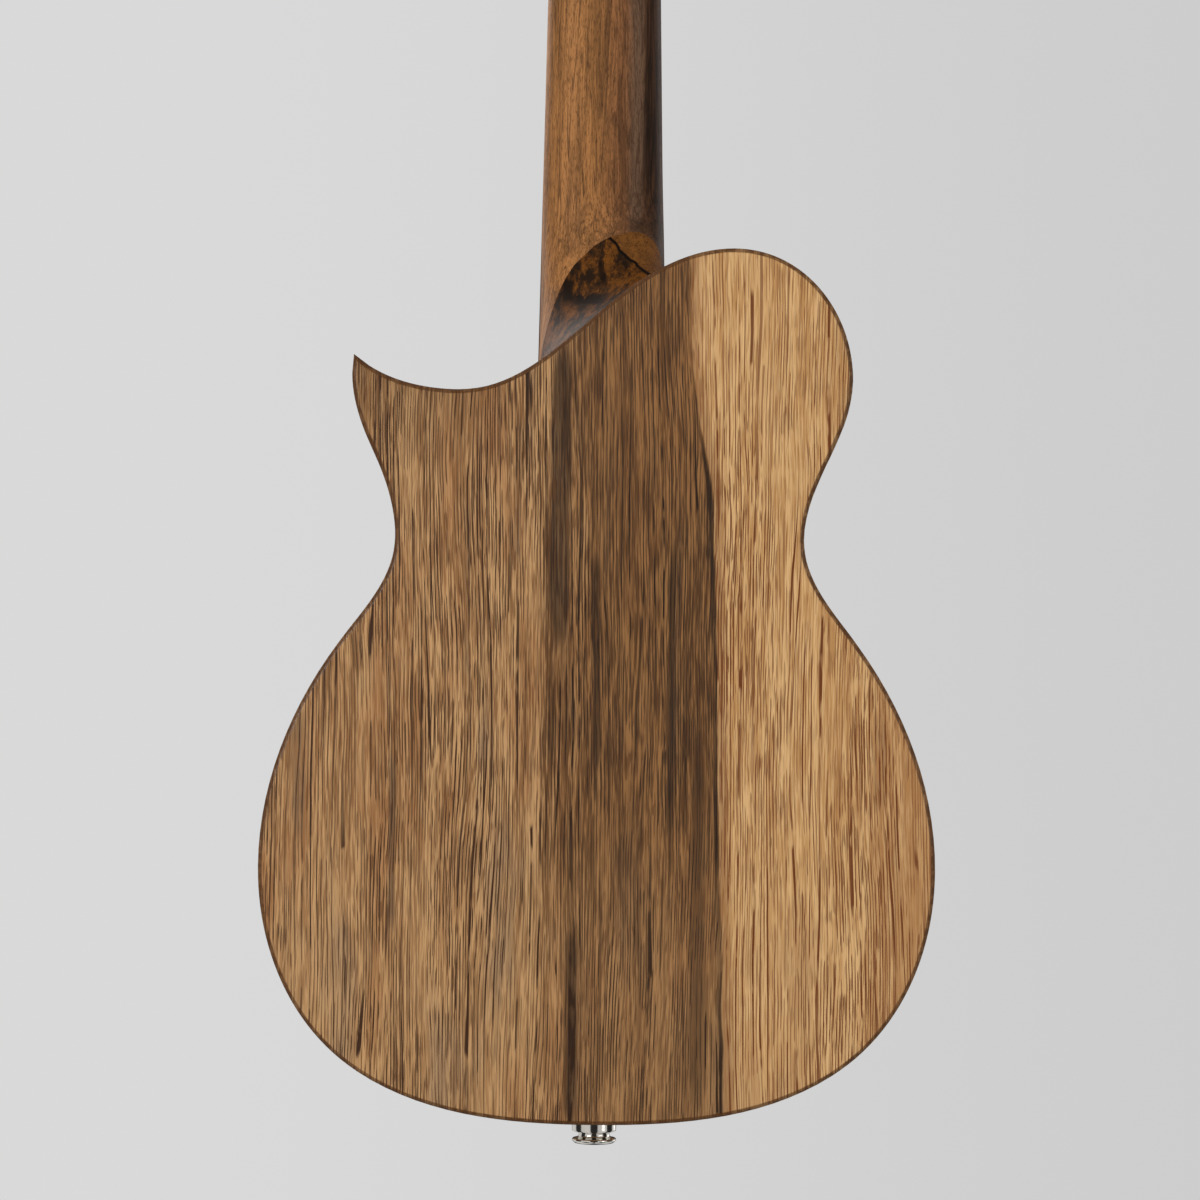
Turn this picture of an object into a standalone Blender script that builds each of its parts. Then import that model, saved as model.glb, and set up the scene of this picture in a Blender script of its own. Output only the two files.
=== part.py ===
"""Tenor ukulele with a thin cutaway body, a glued-up heel, open-gear tuners and an end-pin jack.

Axes: +Z runs up the neck, -Y is the playing face, +X is the treble side with the cutaway.
The origin is on the centreline where the strings leave the nut, at the plane that the fretboard is
glued on, which is also the front of the soundboard. Run it with blender --background --python part.py.
"""

import math

import bmesh
import bpy
from mathutils import Matrix, Vector
from mathutils.geometry import interpolate_bezier

MM = 0.001
GAP = 0.3 * MM  # between pieces that seat on each other
SMOOTH_ANGLE = math.radians(35)

# Scale and fretboard
SCALE_LENGTH = 432 * MM
FRET_COUNT = 18
FRETBOARD_END_MARGIN = 4 * MM
FRETBOARD_THICKNESS = 5 * MM
FRET_WIDTH = 2.0 * MM
FRET_CROWN = 1.0 * MM
FRET_BEDDING = 0.4 * MM
FRET_END_MARGIN = 0.3 * MM  # from the edge of the fretboard
FRET_SHOULDER = 0.35  # share of the crown's height at its sides
FRET_FLAT = 1 / 6  # share of the width, from the middle to the end of the crown's flat
NUT_WIDTH = 35 * MM
NUT_LENGTH = 5 * MM
NUT_LIP = 0.9 * MM
NUT_FLAT = 0.35  # share of its length that is level
NUT_FALL = 2.6 * MM  # over the rest of its length
NUT_SLOT_CLEARANCE = 2 * MM  # above the nut, for the slots' cutters
JOINT_WIDTH = 43.8 * MM
JOINT_FRET = 14  # where the neck meets the body
STRING_SPREAD_AT_NUT = 27 * MM
STRING_SPREAD_AT_SADDLE = 42 * MM
STRING_DIAMETERS = {"g": 0.66 * MM, "c": 0.91 * MM, "e": 0.74 * MM, "a": 0.57 * MM}
STRING_OVER_FIRST_FRET = 0.5 * MM
STRING_OVER_LAST_FRET = 2.9 * MM

# Body: each knot has a half-width, a height and the heading of the outline there, in degrees from
# +X. Heights of the lower body count from the tail, and those of the upper body from the waist. A
# knot between two others is given as shares of the way from the first to the second, across and up.
BODY_DEPTH = 60 * MM
JOINT_RISE = 77.5 * MM  # of the neck joint above the waist
TOP_THICKNESS = 2.2 * MM
BACK_THICKNESS = 2.6 * MM
SIDE_THICKNESS = 2.2 * MM
EDGE_RADIUS = 1.8 * MM
EDGE_STEPS = 2
LOWER_CORNER = (0.7, 0.2)  # from the tail to the lower bout
LOWER_CORNER_HEADING = 32.7
LOWER_BOUT_HALF_WIDTH = 114.6 * MM
LOWER_BOUT_HEIGHT = 86.5 * MM
FLANK = (0.66, 0.72)  # from the lower bout to the waist
FLANK_HEADING = 128
WAIST_HALF_WIDTH = 69.2 * MM
WAIST_HEIGHT = 198.5 * MM
HORN_FLANK = (0.55, 0.48)  # from the waist to the horn's tip
HORN_FLANK_HEADING = 64.4
HORN_TIP_OFFSET = 83.7 * MM
HORN_TIP_RISE = 61.7 * MM
HORN_TIP_HEADINGS = (99.9, 221.3)
VALLEY_OFFSET = 47.9 * MM
VALLEY_RISE = 50.1 * MM
JOINT_HEADING = 139.3
SHOULDER_OFFSET = 45 * MM
SHOULDER_RISE = 98.6 * MM
UPPER_BOUT_HALF_WIDTH = 85.3 * MM
UPPER_BOUT_RISE = 54 * MM
OUTLINE_TURN = 8  # degrees, the most that a curved edge turns at one corner
SOUNDHOLE_RADIUS = 29 * MM
SOUNDHOLE_DROP = 5.5 * MM  # of its middle below the waist

# Inside the body
LINING_DEPTH = 9 * MM
LINING_WIDTH = 5 * MM
LINING_EDGE = 2 * MM
NECK_BLOCK_HALF_WIDTH = 27 * MM
NECK_BLOCK_REACH = 33 * MM  # from the joint at the centreline
TAIL_BLOCK_HALF_WIDTH = 30 * MM
TAIL_BLOCK_THICKNESS = 14 * MM
HORN_BLOCK_REACH = 20 * MM  # from the tip, along the horn
HORN_BLOCK_HALF_WIDTH = 15 * MM
BAR_WIDTH = 7 * MM
BAR_HEIGHT = 8 * MM
UPPER_BACK_BRACE_RISE = 23.5 * MM  # above the waist
LOWER_BACK_BRACE_HEIGHT = 112 * MM  # above the tail
TOP_BAR_CLEARANCE = 5 * MM  # between a bar's middle and the edge of the soundhole
FAN_WIDTH = 5 * MM
FAN_HEIGHT = 6 * MM
FAN_CLEARANCE = 7 * MM  # to the tail block
FAN_SPACING = 34 * MM
BRIDGE_PLATE_SIZE = (104 * MM, 1.8 * MM, 30 * MM)

# Bridge
BRIDGE_WIDTH = 92 * MM
BRIDGE_LENGTH = 25 * MM
BRIDGE_WING_HEIGHT = 3.2 * MM
BRIDGE_BLOCK_WIDTH = 60 * MM
BRIDGE_BLOCK_HEIGHT = 8 * MM
BRIDGE_SLOPE = 5 * MM  # across, from the block down to the wings
BRIDGE_END_CHAMFER = (2 * MM, 1 * MM)  # across, deep
BRIDGE_GROOVE = (5.5 * MM, 3.4 * MM)  # along the strings, deep
SADDLE_SIZE = (54 * MM, 3 * MM)  # across the strings, along them
SADDLE_SLOT_DEPTH = 4.2 * MM
SADDLE_END_SLOPE = 3 * MM
SADDLE_CROWN = 0.8 * MM
SADDLE_SETBACK = 7 * MM  # from the bridge's front edge to the middle of the saddle
PICKUP_THICKNESS = 1.2 * MM
TIE_HOLE_RADIUS = 0.8 * MM
STRING_TAIL = 1.5 * MM  # how far a string stands out behind its tie hole
SADDLE_BREAK = 0.25 * MM  # how far a string drops over the back half of the saddle
GROOVE_SETBACK = 2 * MM  # from the saddle's slot
LEAD_DIAMETER = 2 * MM
LEAD_STEPS = 6  # between two points of its route
LEAD_DROP = ((0, 6, 0), (0, 14, 3), (6, 21, 8), (16, 26, 8))  # mm from its hole: across, deep, along
LEAD_TURN = (-4 * MM, -6 * MM)  # where it turns down to the jack: across, along from its hole
LEAD_STRAIGHT = (14 * MM, 6 * MM)  # its last two points above the jack

# Neck, heel and headstock
NECK_DEPTH_AT_NUT = 13.5 * MM
NECK_DEPTH_AT_JOINT = 15.5 * MM
NECK_ROUNDNESS = 2.5  # exponent of the superellipse across the back of the neck
HEEL_ROUNDNESS = 3  # the same where the heel meets the body
HEEL_SWEEP_LENGTH = 48 * MM
HEEL_STATIONS = (0, 0.02, 0.045, 0.09, 0.16, 0.25, 0.36, 0.5, 0.68, 1)  # shares of the sweep
NECK_BURIAL = 9 * MM  # how far the neck's loft runs into the body before it is cut back to the rim
FOLLOW_START = 5 * MM  # above the joint, up to which the neck's sections follow the body's edge fully
FOLLOW_LENGTH = 60 * MM  # above the joint, where the neck's sections stop following the body's edge
HEEL_GLUE_PLANE = 20 * MM
SHAFT_STATIONS = (0.75, 0.5, 0.25)  # shares of the way from the nut to the heel's sections
TENON_WIDTH = 18 * MM
TENON_DEPTH = (3 * MM, 18 * MM)  # from the fretboard plane
TENON_LENGTH = 20 * MM
ROD_SIZE = (6 * MM, 8 * MM)
ROD_END_MARGIN = 12 * MM
NUT_RAMP_START = 8 * MM  # below the nut, where the neck's back begins to square up
HEAD_RAMP_HEIGHTS = (5 * MM, 13 * MM, 24 * MM)
HEAD_RAMP_ROUNDNESS = (3, 4.5, 14)
SKIN = 0.15 * MM  # how far a ramp stays inside the wood that it runs into
HEADSTOCK_TILT = 12  # degrees
HEADSTOCK_THICKNESS = 13 * MM
OVERLAY_THICKNESS = 2 * MM
HEADSTOCK_SHOULDER = (30.5 * MM, 34 * MM)
HEADSTOCK_SHOULDER_HEADING = 66
HEADSTOCK_WAIST = (29.5 * MM, 84 * MM)
HEADSTOCK_WAIST_HEADING = 92
HEADSTOCK_CORNER = (31 * MM, 10 * MM)  # from the centreline, below the headstock's end
HEADSTOCK_CORNER_HEADINGS = (86, 152)
HEADSTOCK_LENGTH = 122 * MM
POST_OFFSET = 19.5 * MM
POST_HEIGHTS = (40 * MM, 82 * MM)  # above the nut, along the headstock

# Tuner
COG_TEETH = 14
COG_PITCH_RADIUS = 4.9 * MM
COG_THICKNESS = 3 * MM
COG_TIP = 0.62 * MM
COG_ROOT = 0.9 * MM
COG_TOOTH_WIDTH = 0.84 * MM
WORM_PITCH_RADIUS = 2.3 * MM
WORM_TIP = 0.62 * MM
WORM_ROOT = 0.95 * MM
WORM_THREAD_WIDTH = 0.84 * MM
WORM_TURNS = 2.5
WORM_BEDDING = 0.3 * MM  # of the thread in its shaft
FLANK_SLOPE = 0.36  # sideways run of a tooth's flank for each unit of its height
PLATE_THICKNESS = 1.2 * MM
PLATE_INNER = 6.6 * MM
PLATE_OUTER = 8.2 * MM
PLATE_TOP = 6.5 * MM
PLATE_MARGIN = 3.6 * MM  # below the worm's axis
PLATE_CORNER = 2.2 * MM
EAR_THICKNESS = 1.5 * MM
EAR_RADIUS = 2.7 * MM
EAR_SPAN = 9.4 * MM  # between the two ears
SHAFT_RADIUS = 1.35 * MM
POST_RADIUS = 3.0 * MM
POST_RISE = 9 * MM  # above the overlay
POST_WAIST_RADIUS = 2.6 * MM
POST_CHAMFER = 0.7 * MM
POST_WAIST_MARGINS = (0.5 * MM, 0.4 * MM)  # above the string hole, below the winding
POST_STUB_RADIUS = 1.8 * MM
POST_HOLE_HEIGHT = 6.6 * MM
POST_HOLE_RADIUS = 0.9 * MM
COG_SCREW_RADIUS = 2.9 * MM
COG_SCREW_HEIGHT = 1.2 * MM
KNOB_CLEARANCE = 4 * MM  # from the edge of the headstock
KNOB_LENGTH = 12 * MM
KNOB_HALF_HEIGHT = 7.2 * MM
KNOB_HALF_THICKNESS = 4.2 * MM
KNOB_STEM = 0.45  # share of the knob's half sizes at its inner end
KNOB_STATIONS = ((0.12, 0.62), (0.35, 0.93), (0.62, 1.0), (0.86, 0.9), (1.0, 0.62))  # along it, its size
KNOB_GRIP = 0.6  # share of the knob's length that its shaft reaches into
WINDING_START = 2.4 * MM  # above the overlay
WINDING_TURNS = 2.5
WINDING_GAP = 0.45 * MM

# Jack
JACK_RADIUS = 4.7 * MM
JACK_BORE_RADIUS = 3.25 * MM
JACK_BORE_LENGTH = 30 * MM
JACK_LENGTH = 50 * MM
BUTTON_RADIUS = 7.6 * MM
BUTTON_COLLAR = 5 * MM
BUTTON_WAIST_RADIUS = 5.3 * MM
BUTTON_FILLET = 0.9 * MM
BUTTON_LENGTH = 9.1 * MM
BUTTON_LIP = 2 * MM
BUTTON_LIP_FLAT = (0.7, 0.3)  # shares of the lip's height
BUTTON_LIP_CHAMFER = 0.35  # share of the lip's height
JACK_NUT_RADIUS = 7.5 * MM
JACK_NUT_HEIGHT = 2.5 * MM
WASHER_RADIUS = 8.5 * MM
WASHER_THICKNESS = 1 * MM

# Worked out from the sizes above
JOINT_DISTANCE = SCALE_LENGTH * (1 - 2 ** (-JOINT_FRET / 12))
JOINT_HEIGHT = WAIST_HEIGHT + JOINT_RISE
TAIL = -(JOINT_DISTANCE + JOINT_HEIGHT)
HORN_TIP = (HORN_TIP_OFFSET, WAIST_HEIGHT + HORN_TIP_RISE)
SOUNDHOLE_LEVEL = TAIL + WAIST_HEIGHT - SOUNDHOLE_DROP
MID_DEPTH = BODY_DEPTH / 2
TOP_INSIDE = TOP_THICKNESS + GAP
BACK_INSIDE = BODY_DEPTH - BACK_THICKNESS - GAP
RIM_INSIDE = SIDE_THICKNESS + GAP
NECK_TAPER = (JOINT_WIDTH - NUT_WIDTH) / JOINT_DISTANCE
FRET_TOP = FRETBOARD_THICKNESS + GAP + FRET_CROWN
BRIDGE_FRONT = -SCALE_LENGTH + SADDLE_SETBACK
BRIDGE_BACK = BRIDGE_FRONT - BRIDGE_LENGTH
GROOVE_FRONT = -SCALE_LENGTH - SADDLE_SIZE[1] / 2 - GAP - GROOVE_SETBACK
GROOVE_BACK = GROOVE_FRONT - BRIDGE_GROOVE[0]
TIE_LEVEL = -GAP - BRIDGE_BLOCK_HEIGHT + BRIDGE_GROOVE[1] - 2 * TIE_HOLE_RADIUS
WORM_OFFSET = COG_PITCH_RADIUS + WORM_PITCH_RADIUS
WORM_PITCH = 2 * math.pi * COG_PITCH_RADIUS / COG_TEETH
WORM_TIP_RADIUS = WORM_PITCH_RADIUS + WORM_TIP
WORM_DEPTH = HEADSTOCK_THICKNESS + GAP + PLATE_THICKNESS + GAP + WORM_TIP_RADIUS
HEAD_MATRIX = Matrix.Translation((0, 0, NUT_LENGTH)) @ Matrix.Rotation(-math.radians(HEADSTOCK_TILT), 4, "X")


def clear_scene():
    for old in list(bpy.data.objects):
        bpy.data.objects.remove(old, do_unlink=True)


def make_material(name, colour, roughness, metallic=0.0):
    material = bpy.data.materials.new(name)
    material.use_nodes = True
    shader = material.node_tree.nodes["Principled BSDF"]
    shader.inputs["Base Color"].default_value = (*colour, 1.0)
    shader.inputs["Roughness"].default_value = roughness
    shader.inputs["Metallic"].default_value = metallic
    material.diffuse_color = (*colour, 1.0)
    return material


def make_object(bm, name, material=None, frame=None):
    """Turns the bmesh into a named object, smooth apart from its sharp edges."""
    bmesh.ops.remove_doubles(bm, verts=bm.verts, dist=1e-6)
    bmesh.ops.recalc_face_normals(bm, faces=bm.faces)
    mesh = bpy.data.meshes.new(name)
    bm.to_mesh(mesh)
    bm.free()
    mesh.shade_smooth()
    mesh.set_sharp_from_angle(angle=SMOOTH_ANGLE)
    made = bpy.data.objects.new(name, mesh)
    bpy.context.scene.collection.objects.link(made)
    if frame is not None:
        made.parent = frame
    if material is None:
        made.hide_render = True
        made.display_type = "WIRE"
    else:
        mesh.materials.append(material)
    return made


def boolean(target, tool, operation="DIFFERENCE"):
    modifier = target.modifiers.new(operation.lower() + "_" + tool.name, "BOOLEAN")
    modifier.operation = operation
    modifier.object = tool


def apply_cuts():
    """Applies the modifiers and drops the cutters, so that flat faces shade flat beside each cut."""
    depsgraph = bpy.context.evaluated_depsgraph_get()
    cut = [made for made in bpy.data.objects if made.modifiers]
    meshes = [bpy.data.meshes.new_from_object(made.evaluated_get(depsgraph)) for made in cut]
    for made, mesh in zip(cut, meshes):
        made.modifiers.clear()
        made.data = mesh
        mesh.set_sharp_from_angle(angle=SMOOTH_ANGLE)
    for guide in [made for made in bpy.data.objects if made.hide_render]:
        bpy.data.objects.remove(guide, do_unlink=True)


def add_face(bm, points):
    return bm.faces.new([bm.verts.new(p) for p in points])


def extrude_profile(points, offset):
    """A closed profile pushed along an offset."""
    bm = bmesh.new()
    face = add_face(bm, points)
    pushed = bmesh.ops.extrude_face_region(bm, geom=[face])["geom"]
    bmesh.ops.translate(bm, verts=[v for v in pushed if isinstance(v, bmesh.types.BMVert)], vec=offset)
    return bm


def slab(outline, front, back):
    """A prism on an outline of (x, z) points, from y = front to y = back."""
    return extrude_profile([(x, front, z) for x, z in outline], (0, back - front, 0))


def box(low, high):
    bm = bmesh.new()
    bmesh.ops.create_cube(bm, size=1)
    low, high = Vector(low), Vector(high)
    bmesh.ops.scale(bm, verts=bm.verts, vec=high - low)
    bmesh.ops.translate(bm, verts=bm.verts, vec=(low + high) / 2)
    return bm


def loft(rings):
    """A closed skin through rings that have the same number of points."""
    bm = bmesh.new()
    loops = []
    for ring in rings:
        verts = [bm.verts.new(p) for p in ring]
        loops.append([bm.edges.new((a, b)) for a, b in zip(verts, verts[1:] + verts[:1])])
    for lower, upper in zip(loops, loops[1:]):
        bmesh.ops.bridge_loops(bm, edges=lower + upper)
    for end in (loops[0], loops[-1]):
        bmesh.ops.contextual_create(bm, geom=end)
    return bm


def lathe(profile, steps, axis="Z", centre=(0, 0, 0)):
    """Turns a closed profile of (radius, height) points about an axis through centre."""
    bm = bmesh.new()
    verts = [bm.verts.new((radius, 0, height)) for radius, height in profile]
    edges = [bm.edges.new(pair) for pair in zip(verts, verts[1:] + verts[:1])]
    bmesh.ops.spin(
        bm, geom=verts + edges, cent=(0, 0, 0), axis=(0, 0, 1), angle=2 * math.pi, steps=steps, use_merge=True
    )
    bmesh.ops.remove_doubles(bm, verts=bm.verts, dist=1e-6)
    quarter = math.pi / 2
    turn = {"Z": Matrix(), "Y": Matrix.Rotation(-quarter, 4, "X"), "X": Matrix.Rotation(quarter, 4, "Y")}
    bmesh.ops.transform(bm, matrix=Matrix.Translation(centre) @ turn[axis], verts=bm.verts)
    return bm


def rod(radius, low, high, steps, axis="Z", centre=(0, 0, 0)):
    return lathe([(0, low), (radius, low), (radius, high), (0, high)], steps, axis, centre)


def heading(degrees):
    return Vector((math.cos(math.radians(degrees)), math.sin(math.radians(degrees))))


def turn_between(first, second):
    """The angle between two headings."""
    return abs((second - first + 180) % 360 - 180)


def smooth_path(knots):
    """Points along (x, z, heading in, heading out) knots, joined by arcs that are round where they can be."""
    path = []
    for (x0, z0, _, leave), (x1, z1, arrive, _) in zip(knots, knots[1:]):
        start, end = Vector((x0, z0)), Vector((x1, z1))
        chord = end - start
        direction = math.degrees(math.atan2(chord.y, chord.x))
        bend = turn_between(leave, direction) + turn_between(direction, arrive)
        quarter = math.radians(max(bend, 1) / 4)
        reach = chord.length * 2 * math.tan(quarter) / (3 * math.sin(2 * quarter))
        handles = (start + heading(leave) * reach, end - heading(arrive) * reach)
        pieces = max(1, math.ceil(bend / OUTLINE_TURN))
        path += [tuple(p) for p in interpolate_bezier(start, *handles, end, pieces + 1)[:-1]]
    return path + [knots[-1][:2]]


def body_knot(side, place, direction, leave=None):
    x, height = place
    return (side * x, TAIL + height, direction, direction if leave is None else leave)


def between(first, second, shares):
    return tuple(a + (b - a) * share for a, b, share in zip(first, second, shares))


def body_paths():
    """The outline in three runs, counter-clockwise seen from the front: treble, cutaway and bass."""
    bout = (LOWER_BOUT_HALF_WIDTH, LOWER_BOUT_HEIGHT)
    waist = (WAIST_HALF_WIDTH, WAIST_HEIGHT)
    corner = between((0, 0), bout, LOWER_CORNER)
    flank = between(bout, waist, FLANK)
    treble = [
        body_knot(1, (0, 0), 0),
        body_knot(1, corner, LOWER_CORNER_HEADING),
        body_knot(1, bout, 90),
        body_knot(1, flank, FLANK_HEADING),
        body_knot(1, waist, 90),
        body_knot(1, between(waist, HORN_TIP, HORN_FLANK), HORN_FLANK_HEADING),
        body_knot(1, HORN_TIP, *HORN_TIP_HEADINGS),
    ]
    valley = (VALLEY_OFFSET, WAIST_HEIGHT + VALLEY_RISE)
    cutaway = [treble[-1], body_knot(1, valley, 180), body_knot(1, (0, JOINT_HEIGHT), JOINT_HEADING)]
    bass = [
        cutaway[-1],
        body_knot(-1, (SHOULDER_OFFSET, WAIST_HEIGHT + SHOULDER_RISE), 180),
        body_knot(-1, (UPPER_BOUT_HALF_WIDTH, WAIST_HEIGHT + UPPER_BOUT_RISE), 270),
        body_knot(-1, waist, 270),
        body_knot(-1, flank, 360 - FLANK_HEADING),
        body_knot(-1, bout, 270),
        body_knot(-1, corner, 360 - LOWER_CORNER_HEADING),
        body_knot(-1, (0, 0), 360),
    ]
    return [smooth_path(knots) for knots in (treble, cutaway, bass)]


def inset_path(path, distance, closed=False):
    """The path moved to its left, with mitred corners. Left is inwards on the body's outline."""
    moved = []
    count = len(path)
    for i, here in enumerate(path):
        before = path[i - 1] if closed or i else None
        after = path[(i + 1) % count] if closed or i < count - 1 else None
        normals = []
        for a, b in ((before, here), (here, after)):
            if a is not None and b is not None:
                along = (Vector(b) - Vector(a)).normalized()
                normals.append(Vector((-along.y, along.x)))
        normal = sum(normals, Vector((0, 0))) / len(normals)
        moved.append(tuple(Vector(here) + normal * (distance / normal.length_squared)))
    return moved


def strip(path, near, far):
    """The outline between two insets of one path."""
    return inset_path(path, near) + inset_path(path, far)[::-1]


def reach_at(path, height, inset):
    """How far from the centreline the path lies at a height, less an inset."""
    found = [abs(a[0] + (b[0] - a[0]) * (height - a[1]) / (b[1] - a[1]))
             for a, b in zip(inset_path(path, inset), inset_path(path, inset)[1:])
             if min(a[1], b[1]) <= height < max(a[1], b[1])]
    return min(found)


def make_plate(name, material, outline, outside, inside):
    """A soundboard or back, rounded over along its outer edge. Outside and inside are its two y levels."""
    inwards = 1 if inside > outside else -1
    rings = []
    for i in range(EDGE_STEPS + 1):
        angle = math.pi / 2 * i / EDGE_STEPS
        inset = EDGE_RADIUS * (1 - math.sin(angle))
        level = outside + inwards * EDGE_RADIUS * (1 - math.cos(angle))
        rings.append([(x, level, z) for x, z in inset_path(outline, inset, closed=True)])
    rings.append([(x, inside, z) for x, z in outline])
    return make_object(loft(rings), name, material)


def make_body(woods):
    """The plates, the three bent sides and everything glued inside them."""
    treble, cutaway, bass = body_paths()
    outline = treble[:-1] + cutaway[:-1] + bass[:-1]
    top = make_plate("top_plate", woods["body"], outline, 0, TOP_THICKNESS)
    hole = rod(SOUNDHOLE_RADIUS, -BODY_DEPTH, MID_DEPTH / 2, 40, "Y", (0, 0, SOUNDHOLE_LEVEL))
    boolean(top, make_object(hole, "soundhole_cutter"))
    make_plate("back_plate", woods["body"], outline, BODY_DEPTH, BODY_DEPTH - BACK_THICKNESS)
    make_sides(woods["side"], outline)
    blocks = block_regions()
    make_blocks(woods["inner"], outline, blocks)
    make_linings(woods["inner"], {"treble": treble, "cutaway": cutaway, "bass": bass}, blocks)
    make_bracing(woods["inner"], treble, bass)
    return top, outline


def make_sides(material, outline):
    """Three bent sides that butt on the centreline at both ends and are mitred together at the horn."""
    front, back = TOP_INSIDE, BACK_INSIDE
    inner = inset_path(outline, SIDE_THICKNESS, closed=True)
    inwards, across = horn_axes()
    tip = Vector((HORN_TIP[0], TAIL + HORN_TIP[1]))
    far = 2 * LOWER_BOUT_HALF_WIDTH
    seam_in, seam_out = tip + inwards * HORN_BLOCK_REACH, tip - inwards * far
    step = across * GAP / 2
    inside = (GAP / 2, TAIL + WAIST_HEIGHT)
    regions = {
        "side_bass": [(-GAP / 2, TAIL - far), (-GAP / 2, far), (-far, far), (-far, TAIL - far)],
        "side_treble": [
            (GAP / 2, TAIL - far), (2 * far, TAIL - far), (2 * far, far), seam_out + step, seam_in + step, inside,
        ],
        "side_cutaway": [(GAP / 2, far), seam_out - step, seam_in - step, inside],
    }
    half = TENON_WIDTH / 2 + GAP
    low = (-half, TENON_DEPTH[0] - GAP, TAIL + JOINT_HEIGHT - TENON_LENGTH)
    high = (half, TENON_DEPTH[1] + GAP, TAIL + JOINT_HEIGHT + TENON_LENGTH)
    tenon_slot = make_object(box(low, high), "tenon_slot_cutter")
    ends = (TAIL - SIDE_THICKNESS, TAIL + 2 * SIDE_THICKNESS)
    pin_hole = rod(JACK_RADIUS + GAP, *ends, 20, "Z", (0, MID_DEPTH, 0))
    pin_hole = make_object(pin_hole, "side_jack_cutter")
    hollow = make_object(slab(inner, -BODY_DEPTH, 2 * BODY_DEPTH), "hollow_cutter")
    for name, region in regions.items():
        side = make_object(slab(outline, front, back), name, material)
        boolean(side, hollow)
        keeper = make_object(slab(region, -far, far), name + "_keeper")
        boolean(side, keeper, "INTERSECT")
        boolean(side, tenon_slot)
        boolean(side, pin_hole)


def horn_axes():
    """Unit vectors from the horn's tip into the body, and across it towards the treble side."""
    inwards = heading((HORN_TIP_HEADINGS[0] + 180 + HORN_TIP_HEADINGS[1]) / 2)
    return inwards, Vector((-inwards.y, inwards.x))


def block_regions():
    """Where each block goes, as an outline that runs out past the rim."""
    joint = TAIL + JOINT_HEIGHT
    neck_end, tail_end = joint - NECK_BLOCK_REACH, TAIL + RIM_INSIDE + TAIL_BLOCK_THICKNESS
    wide, narrow = TAIL_BLOCK_HALF_WIDTH, NECK_BLOCK_HALF_WIDTH
    inwards, across = horn_axes()
    tip = Vector((HORN_TIP[0], TAIL + HORN_TIP[1]))
    side, past = across * HORN_BLOCK_HALF_WIDTH, -inwards * HORN_BLOCK_REACH
    foot = tip + inwards * HORN_BLOCK_REACH
    return {
        "neck_block": [(-narrow, neck_end), (narrow, neck_end), (narrow, 0), (-narrow, 0)],
        "tail_block": [(-wide, 2 * TAIL), (wide, 2 * TAIL), (wide, tail_end), (-wide, tail_end)],
        "horn_block": [tuple(p) for p in (foot - side, foot + side, tip + past + side, tip + past - side)],
    }


def make_blocks(material, outline, regions):
    blocks = {}
    for name, region in regions.items():
        inside = slab(inset_path(outline, RIM_INSIDE, closed=True), TOP_INSIDE, BACK_INSIDE)
        blocks[name] = make_object(inside, name, material)
        keeper = make_object(slab(region, -BODY_DEPTH, 2 * BODY_DEPTH), name + "_keeper")
        boolean(blocks[name], keeper, "INTERSECT")
    joint = TAIL + JOINT_HEIGHT
    half = TENON_WIDTH / 2 + GAP
    low = (-half, TENON_DEPTH[0] - GAP, joint - TENON_LENGTH - GAP)
    high = (half, TENON_DEPTH[1] + GAP, 0)
    boolean(blocks["neck_block"], make_object(box(low, high), "mortise_cutter"))
    bore = rod(JACK_RADIUS + GAP, TAIL - MM, TAIL + 2 * TAIL_BLOCK_THICKNESS, 20, "Z", (0, MID_DEPTH, 0))
    boolean(blocks["tail_block"], make_object(bore, "tail_jack_cutter"))


def make_linings(material, paths, regions):
    """Tapered linings that run along each side, under both plates, up to the blocks."""
    cutters = []
    for name, region in regions.items():
        room = slab(inset_path(region, -GAP, closed=True), -BODY_DEPTH, 2 * BODY_DEPTH)
        cutters.append(make_object(room, name + "_room_cutter"))
    for name, path in paths.items():
        broad = strip(path, RIM_INSIDE, RIM_INSIDE + LINING_WIDTH)
        narrow = strip(path, RIM_INSIDE, RIM_INSIDE + LINING_EDGE)
        for plate, level, inwards in (("top", TOP_INSIDE, 1), ("back", BACK_INSIDE, -1)):
            rings = [
                [(x, level, z) for x, z in broad],
                [(x, level + inwards * LINING_DEPTH, z) for x, z in narrow],
            ]
            lining = make_object(loft(rings), f"{plate}_lining_{name}", material)
            for cutter in cutters:
                boolean(lining, cutter)


def make_bar(name, material, height, level, inwards, treble, bass, size=(BAR_WIDTH, BAR_HEIGHT)):
    """A straight bar across the body, scalloped down at its ends, between the linings."""
    width, tall = size
    inset = RIM_INSIDE + LINING_WIDTH + GAP
    edges = (height - width / 2, height + width / 2)
    left = -min(reach_at(bass, edge, inset) for edge in edges)
    right = min(reach_at(treble, edge, inset) for edge in edges)
    taper = 3 * tall
    profile = [
        (left, level, height - width / 2),
        (left, level + inwards * tall / 3, height - width / 2),
        (left + taper, level + inwards * tall, height - width / 2),
        (right - taper, level + inwards * tall, height - width / 2),
        (right, level + inwards * tall / 3, height - width / 2),
        (right, level, height - width / 2),
    ]
    return make_object(extrude_profile(profile, (0, 0, width)), name, material)


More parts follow.
